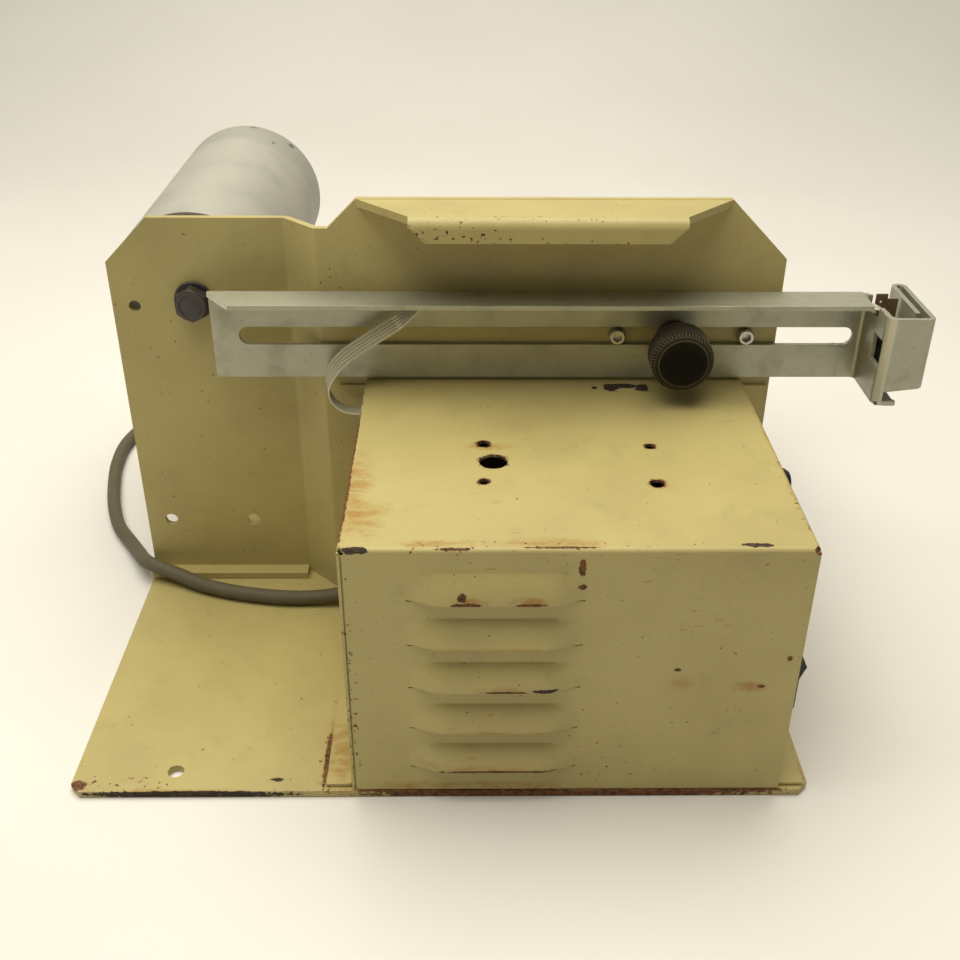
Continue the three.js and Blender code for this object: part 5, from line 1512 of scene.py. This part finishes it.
# Each mark is the centre (x, y, z) and the three radii of an ellipsoid, in millimetres.
COVER_STAINS = [
    (-30, -84, 112, 8, 34, 6), (-27, -108, 112, 12, 20, 5), (40, -122.5, 112, 24, 4, 4),
    (2, -123, 112, 22, 3, 4), (20, -129.6, 16.5, 37, 5, 2.6), (-2, -128.6, 17.8, 10, 4, 3),
    (11, -130, 93.3, 9, 5, 3), (32, -130, 93.3, 8, 5, 2.4), (24, -130, 54.8, 13, 5, 2.2),
    (20, -129, 34.7, 36, 5, 1), (20, -129, 72.8, 36, 5, 1), (86, -126.5, 55, 7, 3, 4),
    (111, -126.5, 53, 8, 3, 3), (17, -127, 5, 50, 3, 3.4), (-38, -104, 5, 9, 26, 3),
    (128, -60, 112, 2.6, 62, 2.6), (19, -56, 112, 12, 4, 2), (80, -84, 112, 6, 5, 2),
]
COVER_RUST = [
    (-33, -92, 112, 1.6, 40, 1.8), (-33, -60, 112, 1.2, 60, 1.2), (6, -125.6, 111.6, 9, 0.8, 0.8),
    (42, -125.2, 112, 16, 0.6, 0.8), (20, -67.8, 112, 6.9, 6.6, 1.6), (16.8, -54.1, 112, 3.9, 3.6, 1.6),
    (16.4, -82.4, 112, 3.2, 3.0, 1.6), (79.4, -83.9, 112, 4.2, 3.9, 1.6), (80.5, -56.1, 112, 3.1, 3, 1.6),
    (10, -130.4, 92.2, 7, 2, 1), (8.6, -129.8, 95, 1.8, 2, 2.2), (32, -130.4, 92.2, 6, 2, 0.8),
    (24, -130.6, 54, 10, 2, 0.6), (22, -130, 15.9, 28, 4, 0.7), (48.9, -126.5, 105, 1.6, 2, 4),
    (49.3, -126.5, 97, 1.7, 2, 1.4), (84.6, -126.5, 61, 1.6, 2, 0.8), (115, -126.5, 53.4, 1.6, 2, 1),
    (123.6, -126.5, 66, 1.2, 2, 1.5), (127.6, -126.4, 111.6, 2.6, 2.4, 2.4),
]
COVER_CHIPS = [
    (71, -4.8, 112.2, 4, 4.4, 2), (77, -3.4, 112.2, 7, 2.6, 2), (84, -5, 112.2, 3.4, 4.6, 2),
    (64, -5, 112.2, 1.5, 1.5, 1), (38, -130.2, 54.4, 6.4, 2, 1), (-27, -126, 111.6, 5.6, 1.6, 1.6),
    (107, -124, 112, 6.4, 1.4, 1.6),
]
COVER_SPECKS = [
    (-31, -126.5, 55, 3.4, 4, 56), (30, -124, 112, 70, 4, 4), (127, -100, 112, 3, 50, 4),
]
BASE_STAINS = [
    (46, -126.4, 2, 96, 3.8, 6), (-42, -102, 3, 6, 30, 3), (-40, -122, 3, 10, 9, 3),
    (-96, -127, 2, 44, 2, 3), (134, -120, 3, 8, 10, 3),
]
BASE_RUST = [
    (46, -127.4, 1.6, 96, 1.6, 3.4), (0, -126.8, 3, 40, 1.2, 1.5), (100, -126.8, 3, 36, 1.2, 1.5),
    (-44, -110, 3, 1.4, 18, 1.5), (-137, -124, 3, 4, 3, 2),
]
BASE_CHIPS = [
    (133.6, -123.4, 3, 5.4, 1.1, 1), (-62, -121, 3, 3, 1.2, 1), (-96, -127, 1.5, 46, 0.8, 2),
]
BASE_SPECKS = [
    (-120, -123, 3, 30, 6, 3), (-42, -100, 3, 6, 34, 3),
]
HOOD_RUST = [
    (64, -22.2, 189, 30, 0.9, 0.5), (-16, -22.4, 188.6, 1.6, 1, 1.8),
]
HOOD_SPECKS = [
    (0, -22.5, 184, 30, 3, 7), (30, -22.5, 182, 60, 3, 2), (24, -20, 190, 60, 3, 2),
]

bright_steel = bare_metal("bright_steel", (0.55, 0.53, 0.47), (0.24, 0.21, 0.16), 0.3)
zinc_steel = bare_metal("zinc_steel", (0.42, 0.4, 0.33), (0.2, 0.18, 0.13), 0.45)
dark_steel = bare_metal("dark_steel", (0.085, 0.072, 0.07), (0.035, 0.026, 0.024), 0.42, metal=0.6)
brass = bare_metal("brass", (0.6, 0.4, 0.14), (0.3, 0.19, 0.07), 0.32)
roller_metal = bare_metal("roller_aluminium", (0.62, 0.61, 0.58), (0.4, 0.39, 0.35), 0.4)
arm_metal = bare_metal(
    "arm_alloy",
    (0.45, 0.44, 0.335),
    (0.29, 0.275, 0.19),
    0.36,
    (14, 1, 1),
    metal=0.55,
    marks=0.6,
    bright=((-0.71, -0.71, 0.0), (0.75, 0.73, 0.58)),
)
drum_metal = drum_finish(
    "drum_aluminium",
    (0.46, 0.445, 0.375),
    (0.31, 0.3, 0.245),
    [(-100, 166, 178.7, 2.4, 1, 2), (-81, 163, 170, 2.2, 2.2, 2.2), (-88, 150, 175, 1, 1.6, 1)],
)
# the knurl's lightened crests are part dust, part painted highlight
knob_plastic = moulded(
    "knob_plastic", (0.0105, 0.009, 0.006), (0.17, 0.14, 0.085), 0.7, 0.02, peak_dust_and_highlight=True, specular=0.06
)
black_plastic = moulded("black_plastic", (0.014, 0.013, 0.012), (0.07, 0.06, 0.045), 0.5)
cord_vinyl = moulded("cord_vinyl", (0.12, 0.103, 0.062), (0.16, 0.14, 0.09), 0.55, specular=0.2)
# the cores' lightened crests are part dust, part painted highlight
ribbon_vinyl = moulded("ribbon_vinyl", (0.42, 0.39, 0.27), (0.66, 0.62, 0.46), 0.45, 0.2, peak_dust_and_highlight=True)
rubber = moulded("roller_rubber", (0.02, 0.019, 0.018), (0.12, 0.11, 0.09), 0.8)
nylon = moulded("white_nylon", (0.62, 0.59, 0.49), (0.46, 0.42, 0.33), 0.45)
phenolic = moulded("phenolic_board", (0.16, 0.1, 0.05), (0.08, 0.05, 0.03), 0.5)
green_board = moulded("green_board", (0.02, 0.09, 0.04), (0.06, 0.12, 0.06), 0.4)
red_filter = moulded("red_filter", (0.25, 0.02, 0.01), (0.15, 0.03, 0.02), 0.2)
copper = bare_metal("copper_coil", (0.5, 0.2, 0.08), (0.26, 0.1, 0.05), 0.35)

base_plate(painted("base_enamel", BASE_STAINS, BASE_RUST, BASE_CHIPS, BASE_SPECKS, worn=0.56))
upright_bracket(painted("upright_enamel", rust=HOOD_RUST, specked=HOOD_SPECKS, worn=0.66))
housing_cover(painted("cover_enamel", COVER_STAINS, COVER_RUST, COVER_CHIPS, COVER_SPECKS, 0.58, dashes=1.0))
for screw in COVER_SCREWS:
    countersunk_screw(screw, bright_steel)

drum_axle_bolt(dark_steel)
ring("drum_washer_front", dark_steel, 8.3, AXLE + GAP, 0.25)
ring("drum_washer_back", zinc_steel, 8.9, AXLE + GAP, 0.25)
drum_tube(drum_metal)
for hub in ("drum_hub_near", "drum_hub_far"):
    drum_hub(hub, nylon)
hex_nut("drum_axle_nut", zinc_steel, 13.0, AXLE + GAP)

sensor_arm(arm_metal)
sensor_board(phenolic)
sensor_body(black_plastic)
sensor_can(brass)
sensor_window(red_filter)
for screw in GUIDE_SCREWS:
    socket_screw(screw, bright_steel, 3.4, ARM_PANEL - SEAT, extent(screw).far, 3.6)
clamp_knob(knob_plastic)
clamp_stud(bright_steel)
hex_nut("clamp_nut", zinc_steel, 11.1, KNOB["stud"] + GAP)
ribbon_on_arm(ribbon_vinyl)
ribbon_loop(ribbon_vinyl)

gearbox_case(zinc_steel)
motor_can(dark_steel)
for screw in GEARMOTOR_SCREWS:
    socket_screw(screw, bright_steel, 3.5, PANEL_BACK + SEAT, extent(screw).near, 3.0, away=1)
shaft_bushing(brass)
grooved_rod("drive_shaft", bright_steel, DRIVE_SHAFT)
ring("drive_roller_core", roller_metal, DRIVE_RADIUS - RUBBER - SEAT, DRIVE_SHAFT + GAP, 0.4)
drive_sleeve(rubber)
riveted_rod("pressure_pivot_rod", bright_steel, 3.0, shoulder=5.0)
pressure_lever(zinc_steel)
grooved_rod("pressure_roller_axle", bright_steel, 3.0, 1.2)
ring("pressure_roller", rubber, 9.5, 3.3, 0.6, 96)
ring("pressure_collar", zinc_steel, 5.0, 3.3, 0.3)
pressure_spring(bright_steel)
spring_post(zinc_steel)
peel_deck(bright_steel)
for screw in DECK_SCREWS:
    slotted_screw(screw, bright_steel)
riveted_rod("web_guide_rod", bright_steel, 5.0)

switch_body(black_plastic)
switch_rocker(black_plastic)
fuse_body(black_plastic)
fuse_cap(black_plastic)
strain_relief(black_plastic)
power_cord(cord_vinyl)
plug_body(cord_vinyl)
plug_insert(brass)

board_tray(zinc_steel)
control_board(green_board)
control_relay(nylon)
terminal_block(black_plastic)
transformer_core(dark_steel)
transformer_coil(copper)

floor_and_backdrop()
lights()
camera()
